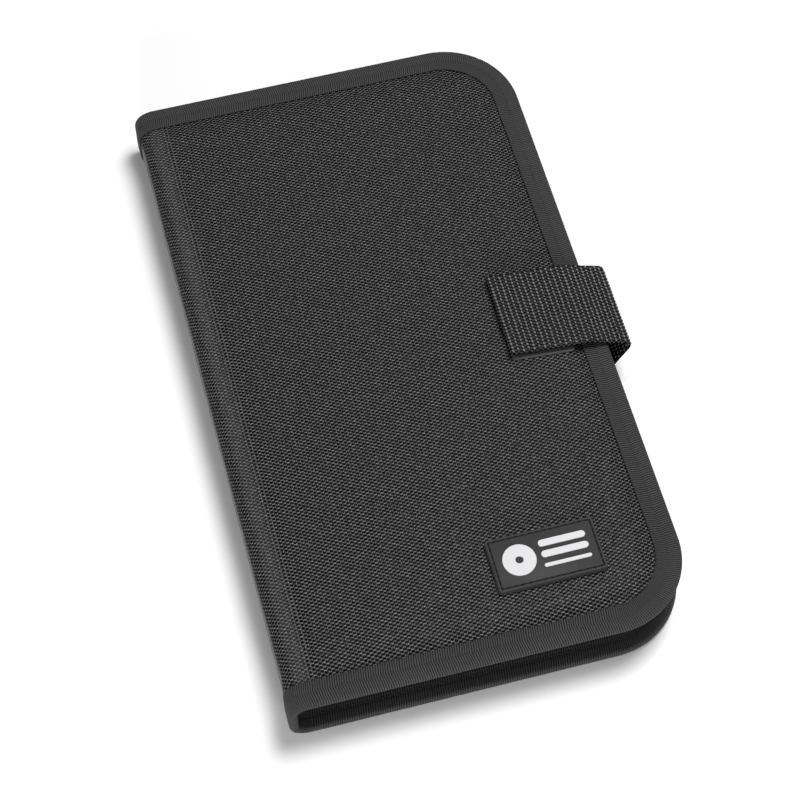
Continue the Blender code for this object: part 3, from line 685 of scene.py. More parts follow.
# %% Depth of the skin
PAD_START = 0.0108
SHOULDER = 0.010
SEAM_GAP = 0.0003
SEAM_DEPTH = COVER_THICKNESS / 2 - SEAM_GAP / 2 - SKIN
VALLEY_DEPTH = 0.0007
VALLEY_WIDTH = 0.009
VALLEY_PLACE = 0.0025
PUCKER = 0.00120
PUCKER_PITCH = 0.016
PUCKER_REACH = 0.014
PUCKER_RISE = 0.004
WAVE = 0.00022
WAVE_PITCH = 0.045
WAVE_RISE = 0.03
CREASES = ({"place": 0.0017, "rise": 0.00020}, {"place": 0.0034, "rise": 0.00016})
CREASE_WIDTH = 0.0004
FLARE = 0.0018
FLARE_START = 0.0108
FLARE_RUN = 0.008
BADGE_SPOT = (0.0292, -0.1086)
PATCH_SPOT = (0.0546, -0.0005)
SPOT_RADIUS = 0.026
SPOT_CORE = 0.8
SPOT_FADE = 0.5


def ripple(x, y, pitch, seed):
    """Smooth noise between about -1 and 1 over a grid of places."""
    flat = np.empty(x.size)
    for i, (a, b) in enumerate(zip(x.ravel(), y.ravel())):
        flat[i] = noise.noise(Vector((a / pitch, b / pitch, seed)))
    return flat.reshape(x.shape)


def flare(offset, girth):
    """How far the sewn edge stands out at the ends of the spine, where no foam lies under the skin."""
    return FLARE * smooth(-girth / ROLL_LENGTH) * (1 - smooth((offset - FLARE_START) / FLARE_RUN))


def skin_depth(x, y, girth, seed):
    """Depth of the skin's outer face below the case's outer line."""
    offset = edge_offset(x, y, girth)
    pad = 1 - (1 - np.clip((offset - PAD_START) / SHOULDER, 0, 1)) ** 3
    beside = (girth - VALLEY_PLACE) / (VALLEY_WIDTH / 2)
    valley = np.where(np.abs(beside) < 1, VALLEY_DEPTH * np.cos(math.pi / 2 * beside) ** 2, 0)
    for crease in CREASES:
        valley = valley - crease["rise"] * np.exp(-(((girth - crease["place"]) / CREASE_WIDTH) ** 2))
    depth = (1 - pad) * SEAM_DEPTH + pad * valley
    from_seam = offset - PAD_START
    near_seam = np.exp(-np.maximum(from_seam, 0) / PUCKER_REACH) * smooth(from_seam / PUCKER_RISE)
    quiet = np.ones_like(x)
    for spot_x, spot_y in (BADGE_SPOT, PATCH_SPOT):
        quiet *= smooth((np.hypot(x - spot_x, y - spot_y) / SPOT_RADIUS - SPOT_CORE) / SPOT_FADE)
    pucker = PUCKER * (0.5 + 0.5 * ripple(x, y, PUCKER_PITCH, seed)) * near_seam
    wave = WAVE * ripple(x, y, WAVE_PITCH, seed + 7.0) * smooth(from_seam / WAVE_RISE)
    return depth + (pucker + np.abs(wave)) * quiet - flare(offset, girth)


# %% Build the outer skins
GRID_STEP = 0.0019
CREASE_RUN = 0.0075
CREASE_STEP = 0.0003
SEAM_INSET = 0.0010
SPINE_STEPS = 4
ROLL_STEPS = 13


def cover_rows(corner_steps):
    """The rows of a cover's grid: their y, and how far each reaches towards the fore-edge."""
    radius = CORNER_RADIUS - SEAM_INSET
    middle = HALF_HEIGHT - CORNER_RADIUS
    turns = np.linspace(math.pi / 2, 0, corner_steps + 1)[:-1]
    corner_x = FORE_EDGE - CORNER_RADIUS
    upper = [(middle + radius * math.sin(turn), corner_x + radius * math.cos(turn)) for turn in turns]
    straight = round(2 * middle / GRID_STEP)
    run = [(middle - 2 * middle * step / straight, FORE_EDGE - SEAM_INSET) for step in range(straight + 1)]
    return np.array(upper + run + [(-y, reach) for y, reach in reversed(upper)])


def cover_grid(corner_steps, depth_of, step):
    """Grid of a cover from the middle of the spine to the sewn edge, with its flat map."""
    rows = cover_rows(corner_steps)
    bent = np.concatenate([
        np.linspace(MIDDLE_GIRTH, -ROLL_LENGTH, SPINE_STEPS)[:-1],
        np.linspace(-ROLL_LENGTH, 0, ROLL_STEPS)[:-1],
    ])
    span = FORE_EDGE - ROLL_X
    close = np.arange(0, CREASE_RUN, min(CREASE_STEP, step)) / span
    shares = np.concatenate([close, np.linspace(CREASE_RUN / span, 1, round((span - CREASE_RUN) / step) + 1)])
    reach = rows[:, 1:2] - ROLL_X
    girth = np.concatenate([np.repeat(bent[None, :], len(rows), 0), reach * shares[None, :]], 1)
    y = np.repeat(rows[:, 0:1], girth.shape[1], 1)
    x, z, out = girth_line(girth)
    depth = depth_of(x, y, girth)
    points = np.stack([x - out[..., 0] * depth, y, z - out[..., 1] * depth], -1)
    return points, np.stack([girth, y], -1)


def cloth_piece(name, grid, flat_map, side, thickness, material):
    """A grid made into a sheet with thickness."""
    rows, columns = grid.shape[:2]
    laid = flat_map.copy()
    if side < 0:
        laid[..., 0] = 2 * MIDDLE_GIRTH - laid[..., 0]
    faces = grid_faces(rows, columns, flip=side > 0)
    made = mesh_piece(name, side_place(grid, side).reshape(-1, 3), faces, material, laid.reshape(-1, 2))
    return thicken(made, thickness)


BLEND_LOW = (SPINE_FACE, 0, CASE_THICKNESS - SPINE_RADIUS)
BLEND_HIGH = (ROLL_X, 0, CASE_THICKNESS)


def join_spine(piece, side, share=1.0):
    """Bakes a piece's transform into its mesh; the ends of the fold beside the spine, over a share of the
    round corner, are worked out but not used.
    """
    ends = np.array([BLEND_LOW, BLEND_HIGH])
    ends = ends.mean(0) + (ends - ends.mean(0)) * share
    low, high = (side_place(point, side).tolist() for point in ends)
    if side > 0:
        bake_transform(piece)
    else:
        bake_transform(piece)


for side, word in ((1, "front"), (-1, "back")):
    grid, flat_map = cover_grid(20, lambda x, y, girth: skin_depth(x, y, girth, seed=3.0 + side), GRID_STEP)
    skin = cloth_piece(f"{word}_skin", grid, flat_map, side, SKIN, nylon)
    join_spine(skin, side)
    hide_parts(*(["front_cover_shell", "spine_shell"] if side > 0 else ["back_cover_shell"]))
    print(skin.name, len(skin.data.polygons), "faces")

# %% [markdown]
# ## The linings
#
# Inside, a smoother cloth lies flat on each cover's board and runs round the inside of the
# spine. It uses the same grid at another depth.

# %% Build the linings
LINING_SEAM = COVER_THICKNESS / 2 + SEAM_GAP / 2
LINING_PANEL = COVER_THICKNESS - LINING
LINING_ROLL = 0.00315
LINING_SLOPE = 0.004
LINING_RUN = 0.009
LINING_FOLD = 0.30


def lining_depth(x, y, girth):
    """Depth of the lining's face towards the board."""
    offset = edge_offset(x, y, girth)
    drop = smooth((offset - PAD_START) / LINING_SLOPE)
    panel = LINING_ROLL + (LINING_PANEL - LINING_ROLL) * smooth(girth / LINING_RUN)
    return (1 - drop) * LINING_SEAM + drop * panel - flare(offset, girth)


for side, word in ((1, "front"), (-1, "back")):
    grid, flat_map = cover_grid(12, lining_depth, GRID_STEP * 1.6)
    inner = cloth_piece(f"{word}_inner", grid, flat_map, side, LINING, lining_cloth)
    join_spine(inner, side, share=LINING_FOLD)
    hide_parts(*(["front_lining", "spine_lining"] if side > 0 else ["back_lining"]))
    print(inner.name, len(inner.data.polygons), "faces")

# %% [markdown]
# ## The edge tape
#
# A ribbed tape is folded over the raw edges of skin and lining and sewn down. It is one closed
# section carried along the edge. A row of stitches pulls a groove into it, a little nearer its
# inner edge, and round the corners its inner side gathers in small pleats.

# %% Section and path of the tape
TAPE_WIDTH = 0.0105
TAPE = 0.0007
TAPE_OUTER = SEAM_DEPTH - SEAM_GAP - TAPE
TAPE_INNER = LINING_SEAM + LINING + SEAM_GAP + TAPE
TAPE_ROLL = 0.0015
TAPE_CROWN = 0.00018
GROOVE_PLACE = 0.0058
GROOVE_DEPTH = 0.00028
GROOVE_WIDTH = 0.0016
PLEAT = 0.00012
PLEAT_PITCH = 0.0026
TAPE_STEP = 0.0016
SLOW_RELIEF = 0.00010
SLOW_PITCH = (0.02, 0.01)
TAPE_SWAY = 0.00022
TAPE_SWAY_PITCH = 0.03
TAPE_SWAY_START = 0.009
TAPE_HEM = 0.0004
TAPE_HEM_DROP = 0.00045
PLEAT_START = 0.005
PLEAT_RISE = 0.004


def tape_face(steps=11):
    """One face of the tape: way in from the edge, and height above the seam side, outer roll last."""
    start = TAPE_WIDTH - TAPE_HEM
    flat = [(TAPE_WIDTH, -TAPE_HEM_DROP), (TAPE_WIDTH - TAPE_HEM / 4, -TAPE_HEM_DROP / 3), (start, 0.0)]
    for step in range(1, steps):
        reach = start + (TAPE_ROLL - start) * step / steps
        crown = TAPE_CROWN * math.sin(math.pi * step / steps)
        dip = GROOVE_DEPTH * math.exp(-(((reach - GROOVE_PLACE) / (GROOVE_WIDTH / 2)) ** 2))
        flat.append((reach, crown - dip))
    return flat


def tape_section():
    """Closed section of the folded tape as (way in from the edge, depth)."""
    face = tape_face()
    rolled = [math.pi / 2 * step / 5 for step in range(6)]
    corner = [(TAPE_ROLL * (1 - math.sin(turn)), TAPE_ROLL * (1 - math.cos(turn))) for turn in rolled]
    outside = [(reach, TAPE_OUTER - height) for reach, height in face]
    outside += [(reach, TAPE_OUTER + deep) for reach, deep in corner]
    outside += [(reach, TAPE_INNER - deep) for reach, deep in reversed(corner)]
    outside += [(reach, TAPE_INNER + height) for reach, height in reversed(face)]
    far = TAPE_INNER - TAPE
    near = TAPE_OUTER + TAPE
    inside = [(TAPE_WIDTH, far), (2 * TAPE, far), (TAPE, (near + far) / 2)]
    inside += [(2 * TAPE, near), (TAPE_WIDTH, near)]
    return np.array(outside + inside), len(outside)


def edge_path(step):
    """Stations along a cover's edge: point, way in, way out and distance."""
    stations = []
    rise = np.linspace(MIDDLE_GIRTH, 0, round(-MIDDLE_GIRTH / step) + 1)
    x, z, out = girth_line(rise)
    proud = flare(np.zeros(len(rise)), rise)
    for i in range(len(rise)):
        place = (x[i] + out[i, 0] * proud[i], HALF_HEIGHT, z[i] + out[i, 1] * proud[i])
        stations.append((place, (0, -1, 0), (out[i, 0], 0, out[i, 1])))
    right = FORE_EDGE - CORNER_RADIUS
    top = HALF_HEIGHT - CORNER_RADIUS
    up_z = (0, 0, 1)
    across = round((right - ROLL_X) / step)
    for i in range(1, across):
        place = (ROLL_X + (right - ROLL_X) * i / across, HALF_HEIGHT, CASE_THICKNESS)
        stations.append((place, (0, -1, 0), up_z))
    turns = round(CORNER_RADIUS * math.pi / 2 / step)
    for i in range(turns + 1):
        angle = math.pi / 2 * (1 - i / turns)
        way = (math.cos(angle), math.sin(angle))
        place = (right + CORNER_RADIUS * way[0], top + CORNER_RADIUS * way[1], CASE_THICKNESS)
        stations.append((place, (-way[0], -way[1], 0), up_z))
    down = round(top / step)
    for i in range(1, down + 1):
        stations.append(((FORE_EDGE, top * (1 - i / down), CASE_THICKNESS), (-1, 0, 0), up_z))
    upper = np.array(stations)
    lower = upper[-2::-1] * np.array([1, -1, 1])
    path = np.concatenate([upper, lower])
    return path[:, 0], path[:, 1], path[:, 2], lengths_along(path[:, 0])


# %% Build the edge tapes
def tape_relief(distance, reach, corner, seed):
    """Small unevenness of the tape: a slow wave everywhere, and pleats at its inner side in a corner."""
    slow = SLOW_RELIEF * noise.noise(Vector((distance / SLOW_PITCH[0], reach / SLOW_PITCH[1], seed)))
    pleat = PLEAT * math.sin(2 * math.pi * distance / PLEAT_PITCH)
    return slow + pleat * smooth((reach - PLEAT_START) / PLEAT_RISE) * corner


def edge_tape(name, side, seed):
    """The folded tape round one cover and half of the spine."""
    section, outer_count = tape_section()
    edge, inward, out, gone = edge_path(TAPE_STEP)
    around = lengths_along(section)
    turning = np.abs(inward[:, 0] * inward[:, 1]) > 1e-6
    points, flat_map = [], []
    for i in range(len(edge)):
        sway = TAPE_SWAY * noise.noise(Vector((gone[i] / TAPE_SWAY_PITCH, 0.0, seed)))
        for j, (reach, deep) in enumerate(section):
            relief = tape_relief(gone[i], reach, float(turning[i]), seed) if j < outer_count else 0.0
            lift = relief if deep < COVER_THICKNESS / 2 else -relief
            aside = sway if reach > TAPE_SWAY_START else 0.0
            points.append(edge[i] + inward[i] * (reach + aside) - out[i] * (deep - lift))
            flat_map.append((around[j], gone[i]))
    faces = tube_faces(len(edge), len(section), flip=side < 0)
    return turn_outwards(mesh_piece(name, side_place(points, side), faces, tape_cloth, flat_map))


for side, word in ((1, "front"), (-1, "back")):
    tape = edge_tape(f"{word}_tape", side, 20.0 + side)
    join_spine(tape, side)
    bound = ["front_binding", "spine_binding_top", "spine_binding_bottom"] if side > 0 else ["back_binding"]
    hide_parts(*bound)
    print(tape.name, len(tape.data.polygons), "faces")

# %% [markdown]
# ## Repeats with Geometry Nodes
#
# Stitches follow a path, and the floats, hooks and loops of the fastener sit in rows on a
# surface. Both are jobs for Geometry Nodes, which put a small shape at many points. One tree
# sews along a path, and one plants a shape on every point of a carrier mesh. Each result is
# turned into a plain mesh.

# %% Helpers for geometry trees
def new_tree(name, sockets):
    """A geometry tree with named inputs, and the sockets of its two ends."""
    tree = bpy.data.node_groups.new(name, "GeometryNodeTree")
    tree.interface.new_socket("Geometry", in_out="INPUT", socket_type="NodeSocketGeometry")
    for label, kind in sockets.items():
        tree.interface.new_socket(label, in_out="INPUT", socket_type=kind)
    tree.interface.new_socket("Geometry", in_out="OUTPUT", socket_type="NodeSocketGeometry")
    return tree, *group_ends(tree)


def finish_tree(tree, given, wanted, instances):
    """Ends a tree in Realize Instances and Set Material."""
    real = node(tree, "GeometryNodeRealizeInstances", (500, 0), {0: instances}).outputs[0]
    coat = node(tree, "GeometryNodeSetMaterial", (700, 0), {"Geometry": real, "Material": given["Finish"]})
    tree.links.new(coat.outputs[0], wanted["Geometry"])
    print("tree", tree.name)


def grow(name, carrier, tree, finish, **values):
    """Runs a tree on a carrier mesh and keeps only what it made, as a plain mesh."""
    modifier = carrier.modifiers.new(name, "NODES")
    modifier.node_group = tree
    labels = {item.name: item.identifier for item in tree.interface.items_tree if item.in_out == "INPUT"}
    modifier[labels["Finish"]] = finish
    for label, value in values.items():
        modifier[labels[label]] = value
    mesh = made_mesh(carrier)
    carrier.modifiers.remove(modifier)
    bpy.data.objects.remove(carrier)
    mesh.name = name
    if not mesh.materials:
        mesh.materials.append(finish)
    mesh.shade_smooth()
    print(name, len(mesh.polygons), "faces")
    return add_object(name, mesh)


# %% The sewing tree
NUMBER = "NodeSocketFloat"
FINISH = "NodeSocketMaterial"
sewing, given, wanted = new_tree(
    "sewing", {"Pitch": NUMBER, "Length": NUMBER, "Thickness": NUMBER, "Finish": FINISH}
)
line = node(sewing, "GeometryNodeMeshToCurve", (-700, 0), {"Mesh": given["Geometry"]}).outputs["Curve"]
spaced = node(
    sewing, "GeometryNodeResampleCurve", (-500, 0), {"Curve": line, "Length": given["Pitch"]}, mode="LENGTH"
)
heading = node(sewing, "GeometryNodeInputTangent", (-500, -200)).outputs[0]
aim = node(sewing, "FunctionNodeAlignRotationToVector", (-300, -200), {"Vector": heading}, axis="X")
bead = node(sewing, "GeometryNodeMeshUVSphere", (-500, -400), {"Segments": 8, "Rings": 5, "Radius": 0.5})
thick = given["Thickness"]
shape = node(sewing, "ShaderNodeCombineXYZ", (-500, -550), {"X": given["Length"], "Y": thick, "Z": thick})
sewn = node(sewing, "GeometryNodeInstanceOnPoints", (0, 0), {
    "Points": spaced.outputs["Curve"],
    "Instance": bead.outputs["Mesh"],
    "Rotation": aim.outputs["Rotation"],
    "Scale": shape.outputs["Vector"],
})
finish_tree(sewing, given, wanted, sewn.outputs["Instances"])

# %% The planting tree
planting, given, wanted = new_tree(
    "planting",
    {"Shape": "NodeSocketObject", "Spread": NUMBER, "Seed": "NodeSocketInt", "Finish": FINISH},
)
calc = sums(planting)
brought = node(planting, "GeometryNodeObjectInfo", (-500, -300), {"Object": given["Shape"]})
nap, lay, grade = (
    node(planting, "GeometryNodeInputNamedAttribute", at, {"Name": label}, data_type=kind).outputs[0]
    for label, at, kind in (
        ("nap", (-700, 300), "FLOAT_VECTOR"),
        ("lay", (-700, 150), "FLOAT_VECTOR"),
        ("grade", (-700, -300), "FLOAT"),
    )
)
stand = node(planting, "FunctionNodeAlignRotationToVector", (-500, 300), {"Vector": nap}, axis="Z")
swing = node(
    planting, "FunctionNodeAlignRotationToVector", (-300, 200),
    {"Rotation": stand.outputs["Rotation"], "Vector": lay}, axis="X", pivot_axis="Z",
)
least = calc("SUBTRACT", 1.0, given["Spread"])
most = calc("ADD", 1.0, given["Spread"])
ends = {2: least, 3: most, "Seed": given["Seed"]}
size = node(planting, "FunctionNodeRandomValue", (-300, -100), ends, data_type="FLOAT")
planted = node(planting, "GeometryNodeInstanceOnPoints", (0, 0), {
    "Points": given["Geometry"],
    "Instance": brought.outputs["Geometry"],
    "Rotation": swing.outputs["Rotation"],
    "Scale": calc("MULTIPLY", size.outputs[1], grade),
})
finish_tree(planting, given, wanted, planted.outputs["Instances"])


# %% Helpers for what the trees work on
def path_object(name, points, closed=False):
    """A path of edges for the sewing tree."""
    mesh = bpy.data.meshes.new(name)
    edges = [(i, i + 1) for i in range(len(points) - 1)]
    if closed:
        edges.append((len(points) - 1, 0))
    mesh.from_pydata([tuple(point) for point in points], edges, [])
    return add_object(name, mesh)


def carrier_object(name, points, naps, lays, grades=None):
    """Points for the planting tree, each with the way it stands, the way it lies and its size."""
    mesh = bpy.data.meshes.new(name)
    mesh.from_pydata([tuple(point) for point in points], [], [])
    for label, values in (("nap", naps), ("lay", lays)):
        layer = mesh.attributes.new(label, "FLOAT_VECTOR", "POINT")
        layer.data.foreach_set("vector", np.asarray(values, np.float32).ravel())
    layer = mesh.attributes.new("grade", "FLOAT", "POINT")
    layer.data.foreach_set("value", np.asarray(grades or [1.0] * len(points), np.float32))
    return add_object(name, mesh)


# %% [markdown]
# The tape is sewn down with one row of stitches on each face. Their thread lies in the groove,
# so they look like a dark dashed line from a step away.

# %% Sew the tapes down
STITCH_PITCH = 0.0030
STITCH_LENGTH = 0.0025
STITCH_THREAD = 0.00042
STITCH_SEAT = GROOVE_DEPTH - 0.00022


def stitch_line(side, face):
    """The seam's path on the outer (1) or inner (-1) face of a tape."""
    edge, inward, out, _ = edge_path(TAPE_STEP)
    deep = TAPE_OUTER + STITCH_SEAT if face > 0 else TAPE_INNER - STITCH_SEAT
    return side_place(edge + inward * GROOVE_PLACE - out * deep, side)


for side, word in ((1, "front"), (-1, "back")):
    for face, where in ((1, "outer"), (-1, "inner")):
        path = path_object("seam_path", stitch_line(side, face))
        sewn_row = grow(
            f"{word}_{where}_stitches", path, sewing, thread_black,
            Pitch=STITCH_PITCH, Length=STITCH_LENGTH, Thickness=STITCH_THREAD,
        )
        join_spine(sewn_row, side)

# %% [markdown]
# ## The strap
#
# The closure is a length of heavy ribbed webbing. Its end is laid on the front, it curves down
# over the fore-edge, bends back under itself and is caught in the back cover's seam. The line
# through its middle is drawn with straight stretches joined by arcs, and everything on the
# strap is placed by the distance along that line.

# %% Line of the strap
STRAP_WIDTH = 0.0395
STRAP = 0.0016
STRAP_LEVEL = CASE_THICKNESS + 0.0031
STRAP_END = 0.0416
STRAP_DROOP = 0.0070
STRAP_REACH = 0.0115
FOLD_HEIGHT = 0.0236
ROOT_HEIGHT = 0.0034
STRAP_CENTRE = -0.0014
STRAP_DRIFT = 0.0030
LEAVE_RADIUS = 0.012
FOLD_RADIUS = 0.0042
ROOT_RADIUS = 0.0005
ROOT_GAP = 0.0003
RIB = 0.0022


def rounded_line(corners, radii, steps):
    """A line with its inner corners rounded by arcs."""
    line = [corners[0]]
    for before, corner, after, radius in zip(corners, corners[1:], corners[2:], radii):
        to_before = (before - corner).normalized()
        to_after = (after - corner).normalized()
        opening = to_before.angle(to_after) / 2
        centre = corner + (to_before + to_after).normalized() * radius / math.sin(opening)
        first = corner + to_before * radius / math.tan(opening) - centre
        last = corner + to_after * radius / math.tan(opening) - centre
        line += [centre + first.slerp(last, step / steps) * radius for step in range(steps + 1)]
    return line + [corners[-1]]


root_x = FORE_EDGE + ROOT_GAP
strap_corners = [
    Vector((STRAP_END, STRAP_LEVEL)),
    Vector((FORE_EDGE - STRAP_DROOP, STRAP_LEVEL)),
    Vector((FORE_EDGE + STRAP_REACH, FOLD_HEIGHT)),
    Vector((root_x + STRAP / 2, ROOT_HEIGHT)),
    Vector((root_x, ROOT_HEIGHT - STRAP / 4)),
]
ARC_STEPS = 12
bends = (LEAVE_RADIUS, FOLD_RADIUS, ROOT_RADIUS)
strap_line = np.array([tuple(point) for point in rounded_line(strap_corners, bends, ARC_STEPS)])
strap_run = lengths_along(strap_line)
STRAP_LENGTH = float(strap_run[-1])


def strap_place(distance, across, height):
    """A point on the strap, its outward direction and its direction towards the root."""
    reach = RIB / 4
    x = np.interp(distance, strap_run, strap_line[:, 0])
    z = np.interp(distance, strap_run, strap_line[:, 1])
    ahead = [np.interp(min(distance + reach, STRAP_LENGTH), strap_run, strap_line[:, k]) for k in (0, 1)]
    behind = [np.interp(max(distance - reach, 0), strap_run, strap_line[:, k]) for k in (0, 1)]
    heading = Vector((ahead[0] - behind[0], 0, ahead[1] - behind[1])).normalized()
    out = Vector((-heading.z, 0, heading.x))
    drift = STRAP_DRIFT * max(1 - distance / (FORE_EDGE - STRAP_END), 0.0)
    middle = Vector((x, STRAP_CENTRE + drift, z))
    return middle + Vector((0, across, 0)) + out * height, out, heading


print("strap length", round(STRAP_LENGTH, 4))

# %% Weave the strap
WEB_GROUND = 0.00055
WEB_STEP = 0.00055
WEB_RIPPLE = 0.2
WEB_EDGE = (0.0003, 0.8)
WEB_SHOULDER = 0.0010
FLOAT_PITCH = 0.00165
FLOAT_LENGTH = 0.00128
FLOAT_WIDTH = 0.00084
FLOAT_HEIGHT = 0.00075
FLOAT_SLANT = math.radians(36)
FLOAT_JOG = 0.00006
FLOAT_SWING = 0.10
LESSER_ROW = 0.92
HEM_PLACE = 0.0017
HEM_WIDTH = 0.0015
HEM_SWELL = 0.9


def web_half(distance):
    """Half the thickness of the webbing's ground, which swells at the folded hem of its free end."""
    return WEB_GROUND * (1 + HEM_SWELL * math.exp(-(((distance - HEM_PLACE) / HEM_WIDTH) ** 2)))


def web_ground():
    """The closed ground of the webbing, between its two faces of floats."""
    steps = round(STRAP_LENGTH / WEB_STEP)
    half = STRAP_WIDTH / 2
    points, flat_map = [], []
    for step in range(steps + 1):
        distance = STRAP_LENGTH * step / steps
        ripple_here = 1 - WEB_RIPPLE + WEB_RIPPLE * abs(math.sin(math.pi * distance / RIB))
        swell = web_half(distance) * ripple_here
        section = [(-half, 0.0), (-half + WEB_EDGE[0], swell * WEB_EDGE[1])]
        section += [(-half + WEB_SHOULDER, swell), (0.0, swell)]
        section += [(-across, height) for across, height in reversed(section[:-1])]
        section += [(across, -height) for across, height in reversed(section[1:-1])]
        for across, height in section:
            place, _, _ = strap_place(distance, across, height)
            points.append(place)
            flat_map.append((across, distance))
    faces = tube_faces(steps + 1, len(section))
    return turn_outwards(mesh_piece("strap_webbing", points, faces, web_cloth, flat_map))


def bead_shape(name, size):
    """A small round-ended shape, long in X, for the planting tree."""
    mesh = bpy.data.meshes.new(name)
    bm = bmesh.new()
    bmesh.ops.create_uvsphere(bm, u_segments=8, v_segments=5, radius=0.5)
    bmesh.ops.scale(bm, vec=size, verts=bm.verts)
    bm.to_mesh(mesh)
    bm.free()
    return bpy.data.objects.new(name, mesh)


def float_rows():
    """Places of the floats on both faces of the webbing."""
    points, naps, lays, grades = [], [], [], []
    random = np.random.default_rng(9)
    rows = int((STRAP_LENGTH - RIB / 2) / RIB) + 1
    columns = int((STRAP_WIDTH - FLOAT_WIDTH) / FLOAT_PITCH)
    for row in range(rows):
        distance = RIB * (row + 0.5)
        stagger = FLOAT_PITCH / 2 * (row % 2)
        for column in range(columns):
            across = (column - (columns - 1) / 2) * FLOAT_PITCH + stagger - FLOAT_PITCH / 4
            for face in (1, -1):
                jog = random.normal(0, FLOAT_JOG, 2)
                height = face * web_half(distance)
                place, out, heading = strap_place(distance + jog[0], across + jog[1], height)
                slant = FLOAT_SLANT + random.normal(0, FLOAT_SWING)
                points.append(place)
                naps.append(out * face)
                lays.append(Vector((0, 1, 0)) * math.cos(slant) - heading * math.sin(slant))
                grades.append(LESSER_ROW if row % 2 else 1.0)
    return carrier_object("float_places", points, naps, lays, grades)


webbing = web_ground()
float_shape = bead_shape("float_shape", (FLOAT_LENGTH, FLOAT_WIDTH, FLOAT_HEIGHT))
floats = grow("strap_floats", float_rows(), planting, web_float, Shape=float_shape, Spread=0.10, Seed=4)
for piece in (webbing, floats):
    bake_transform(piece)
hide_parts("strap_riser", "strap_flap")
print(webbing.name, len(webbing.data.polygons), "faces")

# %% [markdown]
# ## Hook and loop
#
# Under the strap's end lies a patch of stiff hooks, and on the front a patch of soft loops. A
# hook and a loop are each a short bent tube, and the planting tree puts hundreds of them on
# two plates of tape.

# %% Shapes of a hook and a loop
def curve_mesh(name, lines, closed, **settings):
    """The mesh of a curve through lines of points."""
    curve = bpy.data.curves.new(name, "CURVE")
    for label, value in settings.items():
        setattr(curve, label, value)
    for line in lines:
        spline = curve.splines.new("POLY")
        spline.points.add(len(line) - 1)
        for point, place in zip(spline.points, line):
            point.co = (*place, 1)
        spline.use_cyclic_u = closed
    source = add_object(name, curve)
    mesh = made_mesh(source)
    bpy.data.objects.remove(source)
    return mesh


def bent_tube(name, line, radius):
    """A thin tube along a bent line."""
    settings = {"dimensions": "3D", "bevel_depth": radius, "bevel_resolution": 0, "use_fill_caps": True}
    return bpy.data.objects.new(name, curve_mesh(name, [line], closed=False, **settings))


HOOK_HEIGHT = 0.00095
HOOK_STEM = HOOK_HEIGHT * 0.65
HOOK_REACH = HOOK_HEIGHT * 0.22
HOOK_CROWN = HOOK_HEIGHT * 0.30
HOOK_THREAD = 0.00011
LOOP_HEIGHT = 0.00070
LOOP_REACH = 0.0005
LOOP_TWIST = 0.00018
LOOP_THREAD = 0.00009
hook_line = [(0, 0, 0), (0, 0, HOOK_STEM)]
hook_line += [
    (HOOK_REACH * (1 - math.cos(turn)), 0, HOOK_STEM + HOOK_CROWN * math.sin(turn))
    for turn in (0.6, 1.2, 1.9, 2.6)
]
hook_shape = bent_tube("hook_shape", hook_line, HOOK_THREAD)
loop_line = [
    (LOOP_REACH * math.cos(turn), LOOP_TWIST * math.sin(2 * turn), LOOP_HEIGHT * math.sin(turn))
    for turn in (0.0, 0.55, 1.1, 1.57, 2.04, 2.6, math.pi)
]
loop_shape = bent_tube("loop_shape", loop_line, LOOP_THREAD)
print("hook", len(hook_shape.data.polygons), "faces; loop", len(loop_shape.data.polygons), "faces")

# %% Build the two patches
PATCH_CORNER = 0.0015
PATCH_EDGE = 0.0001


def rounded_box(half_x, half_y, radius, steps=6):
    """Points round a rectangle with round corners, about the origin."""
    points = []
    for quarter, (sign_x, sign_y) in enumerate(((1, 1), (-1, 1), (-1, -1), (1, -1))):
        for step in range(steps):
            angle = math.pi / 2 * (quarter + step / (steps - 1))
            x = sign_x * (half_x - radius) + radius * math.cos(angle)
            points.append((x, sign_y * (half_y - radius) + radius * math.sin(angle)))
    return points


def patch_plate(name, node_name, low, high, slant, material, spread=0.0):
    """A tape plate with round corners, in place of a node, between two heights."""
    box_low, box_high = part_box(node_name)
    middle_x = (box_low.x + box_high.x) / 2
    middle_y = (box_low.y + box_high.y) / 2
    half_x = (box_high.x - box_low.x) / 2
    half_y = (box_high.y - box_low.y) / 2 - abs(slant) * half_x + spread
    outline = rounded_box(half_x, half_y, PATCH_CORNER)
    points = [(middle_x + x, middle_y + y - slant * x, z) for z in (low, high) for x, y in outline]
    faces = tube_faces(2, len(outline))
    flat_map = [(y, x) for x, y, _ in points]
    made = mesh_piece(name, points, faces, material, flat_map)
    edge = made.modifiers.new("edge", "BEVEL")
    edge.width = PATCH_EDGE
    edge.segments = 2
    edge.limit_method = "ANGLE"
    settle(made)
    made.data.set_sharp_from_angle(angle=math.radians(40))
    return made, (middle_x, middle_y, half_x, half_y)


def patch_rows(name, centre, height, way, slant, pitch, margin, seed, loose):
    """Points in rows over a patch, standing up or down, with a little disorder."""
    middle_x, middle_y, half_x, half_y = centre
    columns = int(2 * (half_x - margin) / pitch)
    rows = int(2 * (half_y - margin) / pitch)
    random = np.random.default_rng(seed)
    points, lays = [], []
    for i in range(columns + 1):
        for j in range(rows + 1):
            x = -half_x + margin + 2 * (half_x - margin) * i / columns
            y = -half_y + margin + 2 * (half_y - margin) * j / rows
            jog = random.normal(0, loose * pitch, 2)
            turn = random.normal(0, loose * 3)
            flip = 1 if j % 2 else -1
            points.append((middle_x + x + jog[0], middle_y + y - slant * x + jog[1], height))
            lays.append((math.sin(turn), flip * math.cos(turn), 0))
    return carrier_object(name, points, [(0, 0, way)] * len(points), lays)


